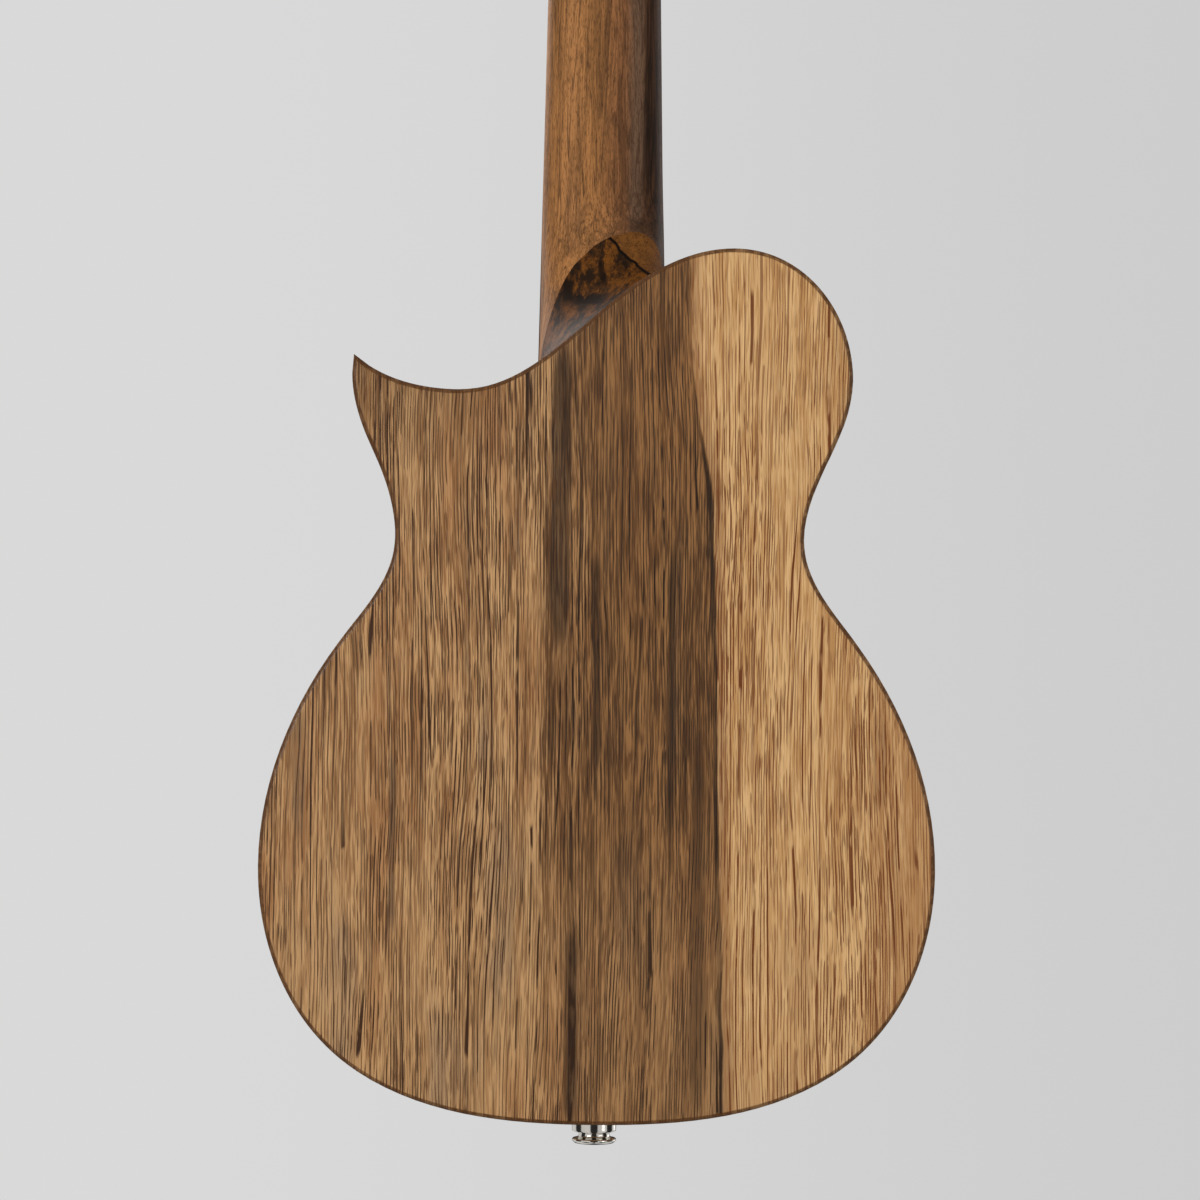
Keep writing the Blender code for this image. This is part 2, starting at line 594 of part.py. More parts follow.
def make_bracing(material, treble, bass):
    back_braces = {"upper": WAIST_HEIGHT + UPPER_BACK_BRACE_RISE, "lower": LOWER_BACK_BRACE_HEIGHT}
    for name, height in back_braces.items():
        make_bar(f"back_brace_{name}", material, TAIL + height, BACK_INSIDE, -1, treble, bass)
    offset = SOUNDHOLE_RADIUS + TOP_BAR_CLEARANCE
    lower_bar = SOUNDHOLE_LEVEL - offset
    make_bar("top_bar_upper", material, SOUNDHOLE_LEVEL + offset, TOP_INSIDE, 1, treble, bass)
    make_bar("top_bar_lower", material, lower_bar, TOP_INSIDE, 1, treble, bass)
    wide, thick, tall = BRIDGE_PLATE_SIZE
    plate_low = Vector((-wide / 2, TOP_INSIDE, -SCALE_LENGTH - tall / 2))
    plate_high = Vector((wide / 2, TOP_INSIDE + thick, -SCALE_LENGTH + tall / 2))
    bridge_plate = make_object(box(plate_low, plate_high), "bridge_plate", material)
    margin = Vector((GAP, GAP, GAP))
    notch = make_object(box(plate_low - margin, plate_high + margin), "fan_notch_cutter")
    start = lower_bar - BAR_WIDTH / 2 - GAP
    tail_block = TAIL + RIM_INSIDE + TAIL_BLOCK_THICKNESS
    for name, side in (("bass", -1), ("centre", 0), ("treble", 1)):
        x = side * FAN_SPACING
        end = tail_block + FAN_CLEARANCE + abs(x) / 2
        profile = [
            (x - FAN_WIDTH / 2, TOP_INSIDE, start),
            (x - FAN_WIDTH / 2, TOP_INSIDE + FAN_HEIGHT, start),
            (x - FAN_WIDTH / 2, TOP_INSIDE + FAN_HEIGHT, end + 4 * FAN_HEIGHT),
            (x - FAN_WIDTH / 2, TOP_INSIDE + FAN_HEIGHT / 3, end),
            (x - FAN_WIDTH / 2, TOP_INSIDE, end),
        ]
        fan = make_object(extrude_profile(profile, (FAN_WIDTH, 0, 0)), f"fan_brace_{name}", material)
        boolean(fan, notch)
    lead_hole = make_object(lead_passage(), "bridge_plate_lead_cutter")
    boolean(bridge_plate, lead_hole)


def string_places():
    """Each string's side-to-side share, from bass to treble."""
    return {name: -0.5 + i / (len(STRING_DIAMETERS) - 1) for i, name in enumerate(STRING_DIAMETERS)}


def lead_place():
    """Where the pickup's lead goes down through the bridge, at the saddle's bass end."""
    return -(SADDLE_SIZE[0] / 2 - LEAD_DIAMETER), -SCALE_LENGTH


def lead_passage():
    x, z = lead_place()
    far = 3 * TOP_THICKNESS + PICKUP_THICKNESS
    return rod(LEAD_DIAMETER / 2 + GAP, -SADDLE_SLOT_DEPTH, far, 12, "Y", (x, 0, z))


def string_level_at_nut():
    return FRET_TOP + STRING_OVER_FIRST_FRET


def string_level_at_saddle():
    last_fret = SCALE_LENGTH * (1 - 2 ** (-FRET_COUNT / 12))
    rise = STRING_OVER_LAST_FRET - STRING_OVER_FIRST_FRET
    return string_level_at_nut() + rise * SCALE_LENGTH / last_fret


def make_bridge(woods, top):
    """The bridge with its saddle, the pickup strip under it and the lead to the jack."""
    wing, block = -GAP - BRIDGE_WING_HEIGHT, -GAP - BRIDGE_BLOCK_HEIGHT
    half, block_half = BRIDGE_WIDTH / 2, BRIDGE_BLOCK_WIDTH / 2
    end_across, end_deep = BRIDGE_END_CHAMFER
    profile = [
        (-half, -GAP, BRIDGE_BACK),
        (-half, wing + end_deep, BRIDGE_BACK),
        (-half + end_across, wing, BRIDGE_BACK),
        (-block_half - BRIDGE_SLOPE, wing, BRIDGE_BACK),
        (-block_half, block, BRIDGE_BACK),
        (block_half, block, BRIDGE_BACK),
        (block_half + BRIDGE_SLOPE, wing, BRIDGE_BACK),
        (half - end_across, wing, BRIDGE_BACK),
        (half, wing + end_deep, BRIDGE_BACK),
        (half, -GAP, BRIDGE_BACK),
    ]
    bridge = make_object(extrude_profile(profile, (0, 0, BRIDGE_LENGTH)), "bridge", woods["dark"])
    slot_half = SADDLE_SIZE[0] / 2 + GAP
    slot_floor = block + SADDLE_SLOT_DEPTH
    slot_z = SADDLE_SIZE[1] / 2 + GAP
    slot_low = (-slot_half, block - MM, -SCALE_LENGTH - slot_z)
    slot_high = (slot_half, slot_floor, -SCALE_LENGTH + slot_z)
    boolean(bridge, make_object(box(slot_low, slot_high), "saddle_slot_cutter"))
    groove_low = (-BRIDGE_WIDTH, block - MM, GROOVE_BACK)
    groove_high = (BRIDGE_WIDTH, block + BRIDGE_GROOVE[1], GROOVE_FRONT)
    boolean(bridge, make_object(box(groove_low, groove_high), "groove_cutter"))
    for name, share in string_places().items():
        place = (share * STRING_SPREAD_AT_SADDLE, TIE_LEVEL, 0)
        hole = rod(TIE_HOLE_RADIUS, BRIDGE_BACK - MM, GROOVE_BACK + MM, 8, "Z", place)
        boolean(bridge, make_object(hole, f"tie_hole_{name}_cutter"))
    passage = make_object(lead_passage(), "bridge_lead_cutter")
    boolean(bridge, passage)
    boolean(top, passage)

    pickup_back = slot_floor - GAP
    pickup_front = pickup_back - PICKUP_THICKNESS
    x0, x1 = -SADDLE_SIZE[0] / 2, SADDLE_SIZE[0] / 2
    z0, z1 = -SCALE_LENGTH - SADDLE_SIZE[1] / 2, -SCALE_LENGTH + SADDLE_SIZE[1] / 2
    make_object(box((x0, pickup_front, z0), (x1, pickup_back, z1)), "pickup_strip", woods["steel"])
    saddle_top = -string_level_at_saddle() + GAP
    profile = [
        (x0, pickup_front - GAP, z0),
        (x1, pickup_front - GAP, z0),
        (x1, block - GAP, z0),
        (x1 - SADDLE_END_SLOPE, saddle_top, z0),
        (x0 + SADDLE_END_SLOPE, saddle_top, z0),
        (x0, block - GAP, z0),
    ]
    saddle = make_object(extrude_profile(profile, (0, 0, SADDLE_SIZE[1])), "saddle", woods["bone"])
    crown = saddle.modifiers.new("crown", "BEVEL")
    crown.width = SADDLE_CROWN
    crown.segments = 2
    crown.limit_method = "ANGLE"
    crown.angle_limit = math.radians(60)

    lead_x, lead_z = lead_place()
    jack_end = TAIL - GAP - BUTTON_LENGTH + JACK_LENGTH
    turn_x, turn_z = LEAD_TURN
    route = [(lead_x, pickup_back + GAP, lead_z)]
    route += [(lead_x + across * MM, deep * MM, lead_z + along * MM) for across, deep, along in LEAD_DROP]
    route.append((turn_x, MID_DEPTH, lead_z + turn_z))
    route += [(0, MID_DEPTH, jack_end + above) for above in (*LEAD_STRAIGHT, GAP)]
    make_tube("pickup_lead", smooth_route(route, LEAD_STEPS), LEAD_DIAMETER, woods["plastic"], 2)


def smooth_route(points, steps):
    """A smooth curve through hand-chosen points, straight at both ends."""
    knots = [Vector(p) for p in points]
    route = [knots[0]]
    for i in range(1, len(knots) - 2):
        before, start, end, after = knots[i - 1 : i + 3]
        leave, arrive = (end - before) / 6, (after - start) / 6
        route += interpolate_bezier(start, start + leave, end - arrive, end, steps)[:-1]
    return route + knots[-2:]


def make_tube(name, points, diameter, material, resolution, frame=None):
    curve = bpy.data.curves.new(name, "CURVE")
    curve.dimensions = "3D"
    curve.bevel_depth = diameter / 2
    curve.bevel_resolution = resolution
    curve.use_fill_caps = True
    spline = curve.splines.new("POLY")
    spline.points.add(len(points) - 1)
    for target, point in zip(spline.points, points):
        target.co = (*point, 1)
    curve.materials.append(material)
    made = bpy.data.objects.new(name, curve)
    bpy.context.scene.collection.objects.link(made)
    if frame is not None:
        made.parent = frame
    return made


def neck_half_width(distance):
    return (NUT_WIDTH + NECK_TAPER * distance) / 2


def neck_section(half, depth, roundness, steps=14):
    """Points (x, depth) of a flat front and a rounded back, from the treble edge to the bass edge."""
    section = []
    for i in range(steps + 1):
        angle = math.pi * i / steps
        c, s = math.cos(angle), math.sin(angle)
        section.append((math.copysign(half * abs(c) ** (2 / roundness), c), depth * s ** (2 / roundness)))
    return section


def heel_rise(distance):
    """How far the heel's sweep stands behind the neck at a distance from the body."""
    if distance >= HEEL_SWEEP_LENGTH:
        return 0
    share = min(1, (HEEL_SWEEP_LENGTH - distance) / HEEL_SWEEP_LENGTH)
    tall = BACK_INSIDE - NECK_DEPTH_AT_JOINT
    return tall * (1 - math.sqrt(max(0, 1 - share * share)))


def joint_line(outline):
    """A function giving how far the body's edge lies above the joint at each x under the neck."""
    points = sorted(p for p in outline if abs(p[0]) < JOINT_WIDTH and p[1] > TAIL + WAIST_HEIGHT)

    def above(x):
        for a, b in zip(points, points[1:]):
            if a[0] <= x <= b[0]:
                return a[1] + (b[1] - a[1]) * (x - a[0]) / (b[0] - a[0]) - (TAIL + JOINT_HEIGHT)
        raise ValueError("the neck is wider than the edge that it meets")

    return above


def make_neck(woods, outline, head):
    """The neck and headstock in one piece, and the heel block that is stacked under it."""
    edge = joint_line(outline)
    joint = TAIL + JOINT_HEIGHT
    rings = []
    for distance in [-NECK_BURIAL] + [HEEL_SWEEP_LENGTH * share for share in HEEL_STATIONS] + [FOLLOW_LENGTH]:
        fade = max(0, min(1, (FOLLOW_LENGTH - distance) / (FOLLOW_LENGTH - FOLLOW_START)))
        follow = fade * fade * (3 - 2 * fade)
        half = neck_half_width(JOINT_DISTANCE - distance)
        depth = NECK_DEPTH_AT_JOINT + heel_rise(distance)
        nearness = max(0, min(1, 1 - distance / HEEL_SWEEP_LENGTH))
        roundness = NECK_ROUNDNESS + (HEEL_ROUNDNESS - NECK_ROUNDNESS) * nearness**2
        ring = neck_section(half, depth, roundness)
        rings.append([(x, y, joint + distance + follow * edge(x)) for x, y in ring])
    for share in SHAFT_STATIONS:
        z = (FOLLOW_LENGTH - JOINT_DISTANCE) * share
        depth = NECK_DEPTH_AT_NUT + (NECK_DEPTH_AT_JOINT - NECK_DEPTH_AT_NUT) * -z / JOINT_DISTANCE
        rings.append([(x, y, z) for x, y in neck_section(neck_half_width(-z), depth, NECK_ROUNDNESS)])
    ring = neck_section(NUT_WIDTH / 2, NECK_DEPTH_AT_NUT, NECK_ROUNDNESS)
    rings.append([(x, y, -NUT_RAMP_START) for x, y in ring])
    shape = head_outline()
    for height, roundness in zip(HEAD_RAMP_HEIGHTS, HEAD_RAMP_ROUNDNESS):
        half = reach_at(shape, height, SKIN)
        ring = neck_section(half, HEADSTOCK_THICKNESS - SKIN, roundness)
        rings.append([tuple(HEAD_MATRIX @ Vector((x, y, height))) for x, y in ring])
    body_space = slab(inset_path(outline, -GAP, closed=True), -BODY_DEPTH, 2 * BODY_DEPTH)
    body_cutter = make_object(body_space, "body_space_cutter")

    heel = make_object(loft(rings[: len(HEEL_STATIONS)]), "heel_block", woods["heel"])
    wide, far = JOINT_WIDTH, joint - 2 * NECK_BURIAL
    heel_box = box((-wide, HEEL_GLUE_PLANE + GAP / 2, far), (wide, BODY_DEPTH, joint + SCALE_LENGTH))
    boolean(heel, make_object(heel_box, "heel_keeper"), "INTERSECT")
    boolean(heel, body_cutter)

    neck = make_object(loft(rings), "neck", woods["neck"])
    behind = HEEL_GLUE_PLANE - GAP / 2
    neck_box = box((-wide, behind, far), (wide, 2 * BODY_DEPTH, joint + HEEL_SWEEP_LENGTH * 2))
    boolean(neck, make_object(neck_box, "glue_plane_cutter"))
    boolean(neck, body_cutter)
    half = TENON_WIDTH / 2
    tenon_low = (-half, TENON_DEPTH[0], joint - TENON_LENGTH)
    tenon_high = (half, TENON_DEPTH[1], joint + TENON_LENGTH / 2)
    boolean(neck, make_object(box(tenon_low, tenon_high), "tenon"), "UNION")
    start = HEAD_RAMP_HEIGHTS[-1] - SKIN
    sides = [p for p in shape if p[1] > start]
    half = reach_at(shape, start, 0)
    head_wood = slab([(half, start)] + sides + [(-half, start)], OVERLAY_THICKNESS, HEADSTOCK_THICKNESS)
    head_tool = make_object(head_wood, "headstock_core", None, head)
    boolean(neck, head_tool, "UNION")
    around_overlay = inset_path(overlay_outline(), -GAP * 2, closed=True)
    overlay_room = slab(around_overlay, -OVERLAY_THICKNESS, OVERLAY_THICKNESS)
    boolean(neck, make_object(overlay_room, "overlay_room_cutter", None, head))
    rod_low = Vector((-ROD_SIZE[0] / 2, 0, joint + ROD_END_MARGIN))
    rod_high = Vector((ROD_SIZE[0] / 2, ROD_SIZE[1], -ROD_END_MARGIN))
    rod_slot = box(rod_low - Vector((GAP, MM, GAP)), rod_high + Vector((GAP, GAP, GAP)))
    boolean(neck, make_object(rod_slot, "rod_slot_cutter"))
    make_object(box(rod_low, rod_high), "neck_rod", woods["carbon"])
    overlay = slab(overlay_outline(), 0, OVERLAY_THICKNESS - GAP)
    overlay = make_object(overlay, "headstock_overlay", woods["dark"], head)
    for side in (-1, 1):
        for height in POST_HEIGHTS:
            place = (side * POST_OFFSET, 0, height)
            hole = rod(POST_RADIUS + GAP, -MM, HEADSTOCK_THICKNESS + MM, 16, "Y", place)
            hole = make_object(hole, f"post_hole_{side}_{height / MM:.0f}_cutter", None, head)
            boolean(neck, hole)
            boolean(overlay, hole)


def head_outline():
    """The headstock's outline in its own frame, counter-clockwise from the treble side of the nut."""
    treble = [
        (NUT_WIDTH / 2, 0, 90, 84),
        (*HEADSTOCK_SHOULDER, HEADSTOCK_SHOULDER_HEADING, HEADSTOCK_SHOULDER_HEADING),
        (*HEADSTOCK_WAIST, HEADSTOCK_WAIST_HEADING, HEADSTOCK_WAIST_HEADING),
        (HEADSTOCK_CORNER[0], HEADSTOCK_LENGTH - HEADSTOCK_CORNER[1], *HEADSTOCK_CORNER_HEADINGS),
        (0, HEADSTOCK_LENGTH, 180, 180),
    ]
    half = smooth_path(treble)
    return half + [(-x, z) for x, z in half[-2::-1]]


def overlay_outline():
    start = OVERLAY_THICKNESS * math.tan(math.radians(HEADSTOCK_TILT)) + GAP
    shape = [p for p in head_outline() if p[1] > start]
    return [(NUT_WIDTH / 2, start)] + shape + [(-NUT_WIDTH / 2, start)]


def make_fretboard(woods):
    """The fretboard with its frets pressed in, and the nut at its end."""
    last = SCALE_LENGTH * (1 - 2 ** (-FRET_COUNT / 12))
    end = -(last + FRETBOARD_END_MARGIN)
    front = -GAP - FRETBOARD_THICKNESS
    corners = [(neck_half_width(GAP), -GAP), (-neck_half_width(GAP), -GAP)]
    corners += [(-neck_half_width(-end), end), (neck_half_width(-end), end)]
    board = make_object(slab(corners, front, -GAP), "fretboard", woods["dark"])
    for n in range(1, FRET_COUNT + 1):
        place = SCALE_LENGTH * (1 - 2 ** (-n / 12))
        half = neck_half_width(place) - FRET_END_MARGIN
        profile = [
            (-half, front + FRET_BEDDING, -place - FRET_WIDTH / 2),
            (-half, front - FRET_CROWN * FRET_SHOULDER, -place - FRET_WIDTH / 2),
            (-half, front - FRET_CROWN, -place - FRET_WIDTH * FRET_FLAT),
            (-half, front - FRET_CROWN, -place + FRET_WIDTH * FRET_FLAT),
            (-half, front - FRET_CROWN * FRET_SHOULDER, -place + FRET_WIDTH / 2),
            (-half, front + FRET_BEDDING, -place + FRET_WIDTH / 2),
        ]
        fret = make_object(extrude_profile(profile, (2 * half, 0, 0)), f"fret_{n}")
        boolean(board, fret, "UNION")
    nut_top = -string_level_at_nut() - NUT_LIP
    profile = [
        (-NUT_WIDTH / 2, -GAP, 0),
        (-NUT_WIDTH / 2, nut_top, 0),
        (-NUT_WIDTH / 2, nut_top, NUT_LENGTH * NUT_FLAT),
        (-NUT_WIDTH / 2, nut_top + NUT_FALL, NUT_LENGTH),
        (-NUT_WIDTH / 2, -GAP, NUT_LENGTH),
    ]
    nut = make_object(extrude_profile(profile, (NUT_WIDTH, 0, 0)), "nut", woods["bone"])
    slot_lean = math.tan(math.radians(HEADSTOCK_TILT))
    for name, share in string_places().items():
        half = STRING_DIAMETERS[name] / 2 + GAP
        x = share * STRING_SPREAD_AT_NUT
        floor = -string_level_at_nut() + GAP
        profile = [
            (x - half, nut_top - NUT_SLOT_CLEARANCE, -MM),
            (x - half, floor, -MM),
            (x - half, floor, NUT_LENGTH / 3),
            (x - half, floor + slot_lean * NUT_LENGTH * 2, NUT_LENGTH * 2),
            (x - half, nut_top - NUT_SLOT_CLEARANCE, NUT_LENGTH * 2),
        ]
        boolean(nut, make_object(extrude_profile(profile, (2 * half, 0, 0)), f"nut_slot_{name}_cutter"))


def string_route(name, share, side, height):
    """From the tie hole over the saddle and the nut, then round its post as a winding."""
    radius = STRING_DIAMETERS[name] / 2
    saddle_x, nut_x = share * STRING_SPREAD_AT_SADDLE, share * STRING_SPREAD_AT_NUT
    saddle_y, nut_y = -string_level_at_saddle() - radius, -string_level_at_nut() - radius
    route = [
        Vector((saddle_x, TIE_LEVEL, BRIDGE_BACK - STRING_TAIL)),
        Vector((saddle_x, TIE_LEVEL, GROOVE_BACK + STRING_TAIL / 3)),
        Vector((saddle_x, saddle_y + SADDLE_BREAK, -SCALE_LENGTH - SADDLE_SIZE[1] * 0.4)),
        Vector((saddle_x, saddle_y, -SCALE_LENGTH)),
        Vector((nut_x, nut_y, 0)),
        Vector((nut_x, nut_y + SADDLE_BREAK / 2, NUT_LENGTH / 3)),
    ]
    coil = POST_RADIUS + GAP + radius
    pitch = 2 * radius + WINDING_GAP
    centre = Vector((side * POST_OFFSET, 0, height))
    steps = 24
    for i in range(round(WINDING_TURNS * steps) + 1):
        turn = 2 * math.pi * i / steps
        local = centre + Vector((-side * coil * math.cos(turn), 0, coil * math.sin(turn)))
        local.y = -WINDING_START - pitch * turn / (2 * math.pi)
        route.append(HEAD_MATRIX @ local)
    return route


def make_strings(woods):
    posts = {"g": (-1, 0), "c": (-1, 1), "e": (1, 1), "a": (1, 0)}
    for name, share in string_places().items():
        side, row = posts[name]
        route = string_route(name, share, side, POST_HEIGHTS[row])
        make_tube(f"string_{name}", route, STRING_DIAMETERS[name], woods["string"], 1)
        print(f"string {name}: least gap of its winding to itself {WINDING_GAP / MM:.2f} mm")


def cog_profile():
    """One tooth after another round the cog, as (x, z) points, with a tooth centred at -Z."""
    pitch_angle = 2 * math.pi / COG_TEETH
    root, tip = COG_PITCH_RADIUS - COG_ROOT, COG_PITCH_RADIUS + COG_TIP
    root_half = (COG_TOOTH_WIDTH / 2 + FLANK_SLOPE * COG_ROOT) / root
    tip_half = (COG_TOOTH_WIDTH / 2 - FLANK_SLOPE * COG_TIP) / tip
    points = []
    for i in range(COG_TEETH):
        middle = -math.pi / 2 + i * pitch_angle
        for radius, offset in ((root, -root_half), (tip, -tip_half), (tip, tip_half), (root, root_half)):
            angle = middle + offset
            points.append((radius * math.cos(angle), radius * math.sin(angle)))
    return points


def make_cog(name, material, place, hand, frame):
    """A cog whose teeth slant to follow the worm's thread."""
    slant = WORM_PITCH / (2 * math.pi * WORM_PITCH_RADIUS) / COG_PITCH_RADIUS
    rings = []
    for y in (-COG_THICKNESS / 2, COG_THICKNESS / 2):
        turn = hand * slant * y
        c, s = math.cos(turn), math.sin(turn)
        rings.append([(x * c + z * s, y, z * c - x * s) for x, z in cog_profile()])
    bm = loft(rings)
    bmesh.ops.translate(bm, verts=bm.verts, vec=place)
    cog = make_object(bm, name, material, frame)
    bore = rod(POST_STUB_RADIUS + GAP, -COG_THICKNESS, COG_THICKNESS, 12, "Y", place)
    boolean(cog, make_object(bore, name + "_bore_cutter", None, frame))


def make_worm(name, material, place, side, frame):
    """The worm's thread wound on its shaft, which runs out through both ears to the knob."""
    root = WORM_PITCH_RADIUS - WORM_ROOT
    low, high = root - WORM_BEDDING, WORM_PITCH_RADIUS + WORM_TIP
    low_half = WORM_THREAD_WIDTH / 2 + FLANK_SLOPE * (WORM_PITCH_RADIUS - low)
    high_half = WORM_THREAD_WIDTH / 2 - FLANK_SLOPE * WORM_TIP
    steps = 12
    rings = []
    for i in range(round(WORM_TURNS * steps) + 1):
        turn = 2 * math.pi * (i / steps - WORM_TURNS / 2)
        x = side * (WORM_PITCH * turn / (2 * math.pi) + WORM_PITCH / 4)
        across = [(low, -low_half), (high, -high_half), (high, high_half), (low, low_half)]
        rings.append([(x + step, r * math.cos(turn), r * math.sin(turn)) for r, step in across])
    thread = loft(rings)
    bmesh.ops.translate(thread, verts=thread.verts, vec=place)
    inner = -side * (EAR_SPAN / 2 + EAR_THICKNESS + GAP)
    outer = side * (knob_start() + KNOB_LENGTH * KNOB_GRIP - POST_OFFSET)
    collar = side * (EAR_SPAN / 2 - GAP)
    profile = [
        (0, inner),
        (SHAFT_RADIUS, inner),
        (SHAFT_RADIUS, -collar),
        (root, -collar),
        (root, collar),
        (SHAFT_RADIUS, collar),
        (SHAFT_RADIUS, outer),
        (0, outer),
    ]
    shaft = make_object(lathe(profile, 12, "X", place), name, material, frame)
    boolean(shaft, make_object(thread, name + "_thread", None, frame), "UNION")


def knob_start():
    """How far from the centreline the knobs begin, along X."""
    return max(HEADSTOCK_SHOULDER[0], HEADSTOCK_WAIST[0], HEADSTOCK_CORNER[0]) + KNOB_CLEARANCE


def make_knob(name, material, place, side, frame):
    """An oval knob, narrow where it meets its shaft."""
    rings = []
    for share, size in ((0, KNOB_STEM), *KNOB_STATIONS):
        x = side * (knob_start() + share * KNOB_LENGTH)
        ring = []
        for i in range(16):
            angle = 2 * math.pi * i / 16
            deep, tall = KNOB_HALF_THICKNESS * math.cos(angle), KNOB_HALF_HEIGHT * math.sin(angle)
            ring.append((x, place[1] + size * deep, place[2] + size * tall))
        rings.append(ring)
    knob = make_object(loft(rings), name, material, frame)
    far = knob_start() + KNOB_LENGTH * KNOB_GRIP + GAP
    ends = sorted((side * (knob_start() - MM), side * far))
    socket = rod(SHAFT_RADIUS + GAP, ends[0], ends[1], 12, "X", (0, place[1], place[2]))
    boolean(knob, make_object(socket, name + "_socket_cutter", None, frame))


def make_tuner_plate(name, material, x, height, side, frame):
    """The base plate with two ears that carry the worm's shaft."""
    worm_z = height - WORM_OFFSET
    under = HEADSTOCK_THICKNESS + GAP
    ends = sorted((x - side * PLATE_INNER, x + side * PLATE_OUTER))
    low, high = worm_z - PLATE_MARGIN, height + PLATE_TOP
    cut = PLATE_CORNER
    outline = [
        (ends[0] + cut, low), (ends[1] - cut, low), (ends[1], low + cut), (ends[1], high - cut),
        (ends[1] - cut, high), (ends[0] + cut, high), (ends[0], high - cut), (ends[0], low + cut),
    ]
    plate = make_object(slab(outline, under, under + PLATE_THICKNESS), name, material, frame)
    for mark, start in (("inner", -EAR_SPAN / 2 - EAR_THICKNESS), ("outer", EAR_SPAN / 2)):
        foot = under + GAP
        profile = [(x + start, foot, worm_z - EAR_RADIUS), (x + start, foot, worm_z + EAR_RADIUS)]
        for i in range(9):
            angle = math.pi / 2 - math.pi * i / 8
            y, z = WORM_DEPTH + EAR_RADIUS * math.cos(angle), worm_z + EAR_RADIUS * math.sin(angle)
            profile.append((x + start, y, z))
        ear = make_object(extrude_profile(profile, (EAR_THICKNESS, 0, 0)), f"{name}_{mark}_ear", None, frame)
        boolean(plate, ear, "UNION")
    span = EAR_SPAN
    bore = rod(SHAFT_RADIUS + GAP, -span, span, 16, "X", (x, WORM_DEPTH, worm_z))
    boolean(plate, make_object(bore, name + "_bore_cutter", None, frame))
    hole = rod(POST_RADIUS + GAP, under - MM, under + 2 * PLATE_THICKNESS, 16, "Y", (x, 0, height))
    boolean(plate, make_object(hole, name + "_post_cutter", None, frame))


def make_post(name, material, x, height, frame):
    """The string post: its waist and hole stand in front, its stub carries the cog behind."""
    cog_front, cog_back = WORM_DEPTH - COG_THICKNESS / 2, WORM_DEPTH + COG_THICKNESS / 2
    profile = [
        (0, -POST_RISE),
        (POST_RADIUS - POST_CHAMFER, -POST_RISE),
        (POST_RADIUS, -POST_RISE + POST_CHAMFER),
        (POST_RADIUS, -POST_HOLE_HEIGHT - POST_HOLE_RADIUS - POST_WAIST_MARGINS[0]),
        (POST_WAIST_RADIUS, -POST_HOLE_HEIGHT + POST_HOLE_RADIUS),
        (POST_RADIUS, -WINDING_START + POST_WAIST_MARGINS[1]),
        (POST_RADIUS, cog_front - GAP),
        (POST_STUB_RADIUS, cog_front - GAP),
        (POST_STUB_RADIUS, cog_back + GAP),
        (COG_SCREW_RADIUS, cog_back + GAP),
        (COG_SCREW_RADIUS, cog_back + GAP + COG_SCREW_HEIGHT * 0.6),
        (COG_SCREW_RADIUS * 0.6, cog_back + GAP + COG_SCREW_HEIGHT),
        (0, cog_back + GAP + COG_SCREW_HEIGHT),
    ]
    post = make_object(lathe(profile, 14, "Y", (x, 0, height)), name, material, frame)
    hole = rod(POST_HOLE_RADIUS, -2 * POST_RADIUS, 2 * POST_RADIUS, 8, "X", (x, -POST_HOLE_HEIGHT, height))
    boolean(post, make_object(hole, name + "_hole_cutter", None, frame))


def make_tuners(woods, head):
    names = {(-1, 0): "g", (-1, 1): "c", (1, 1): "e", (1, 0): "a"}
    for (side, row), string in names.items():
        x, height = side * POST_OFFSET, POST_HEIGHTS[row]
        worm_place = (x, WORM_DEPTH, height - WORM_OFFSET)
        make_tuner_plate(f"tuner_plate_{string}", woods["steel"], x, height, side, head)
        make_post(f"string_post_{string}", woods["steel"], x, height, head)
        make_cog(f"cog_{string}", woods["brass"], (x, WORM_DEPTH, height), side, head)
        make_worm(f"worm_shaft_{string}", woods["steel"], worm_place, side, head)
        make_knob(f"tuner_knob_{string}", woods["steel"], worm_place, side, head)


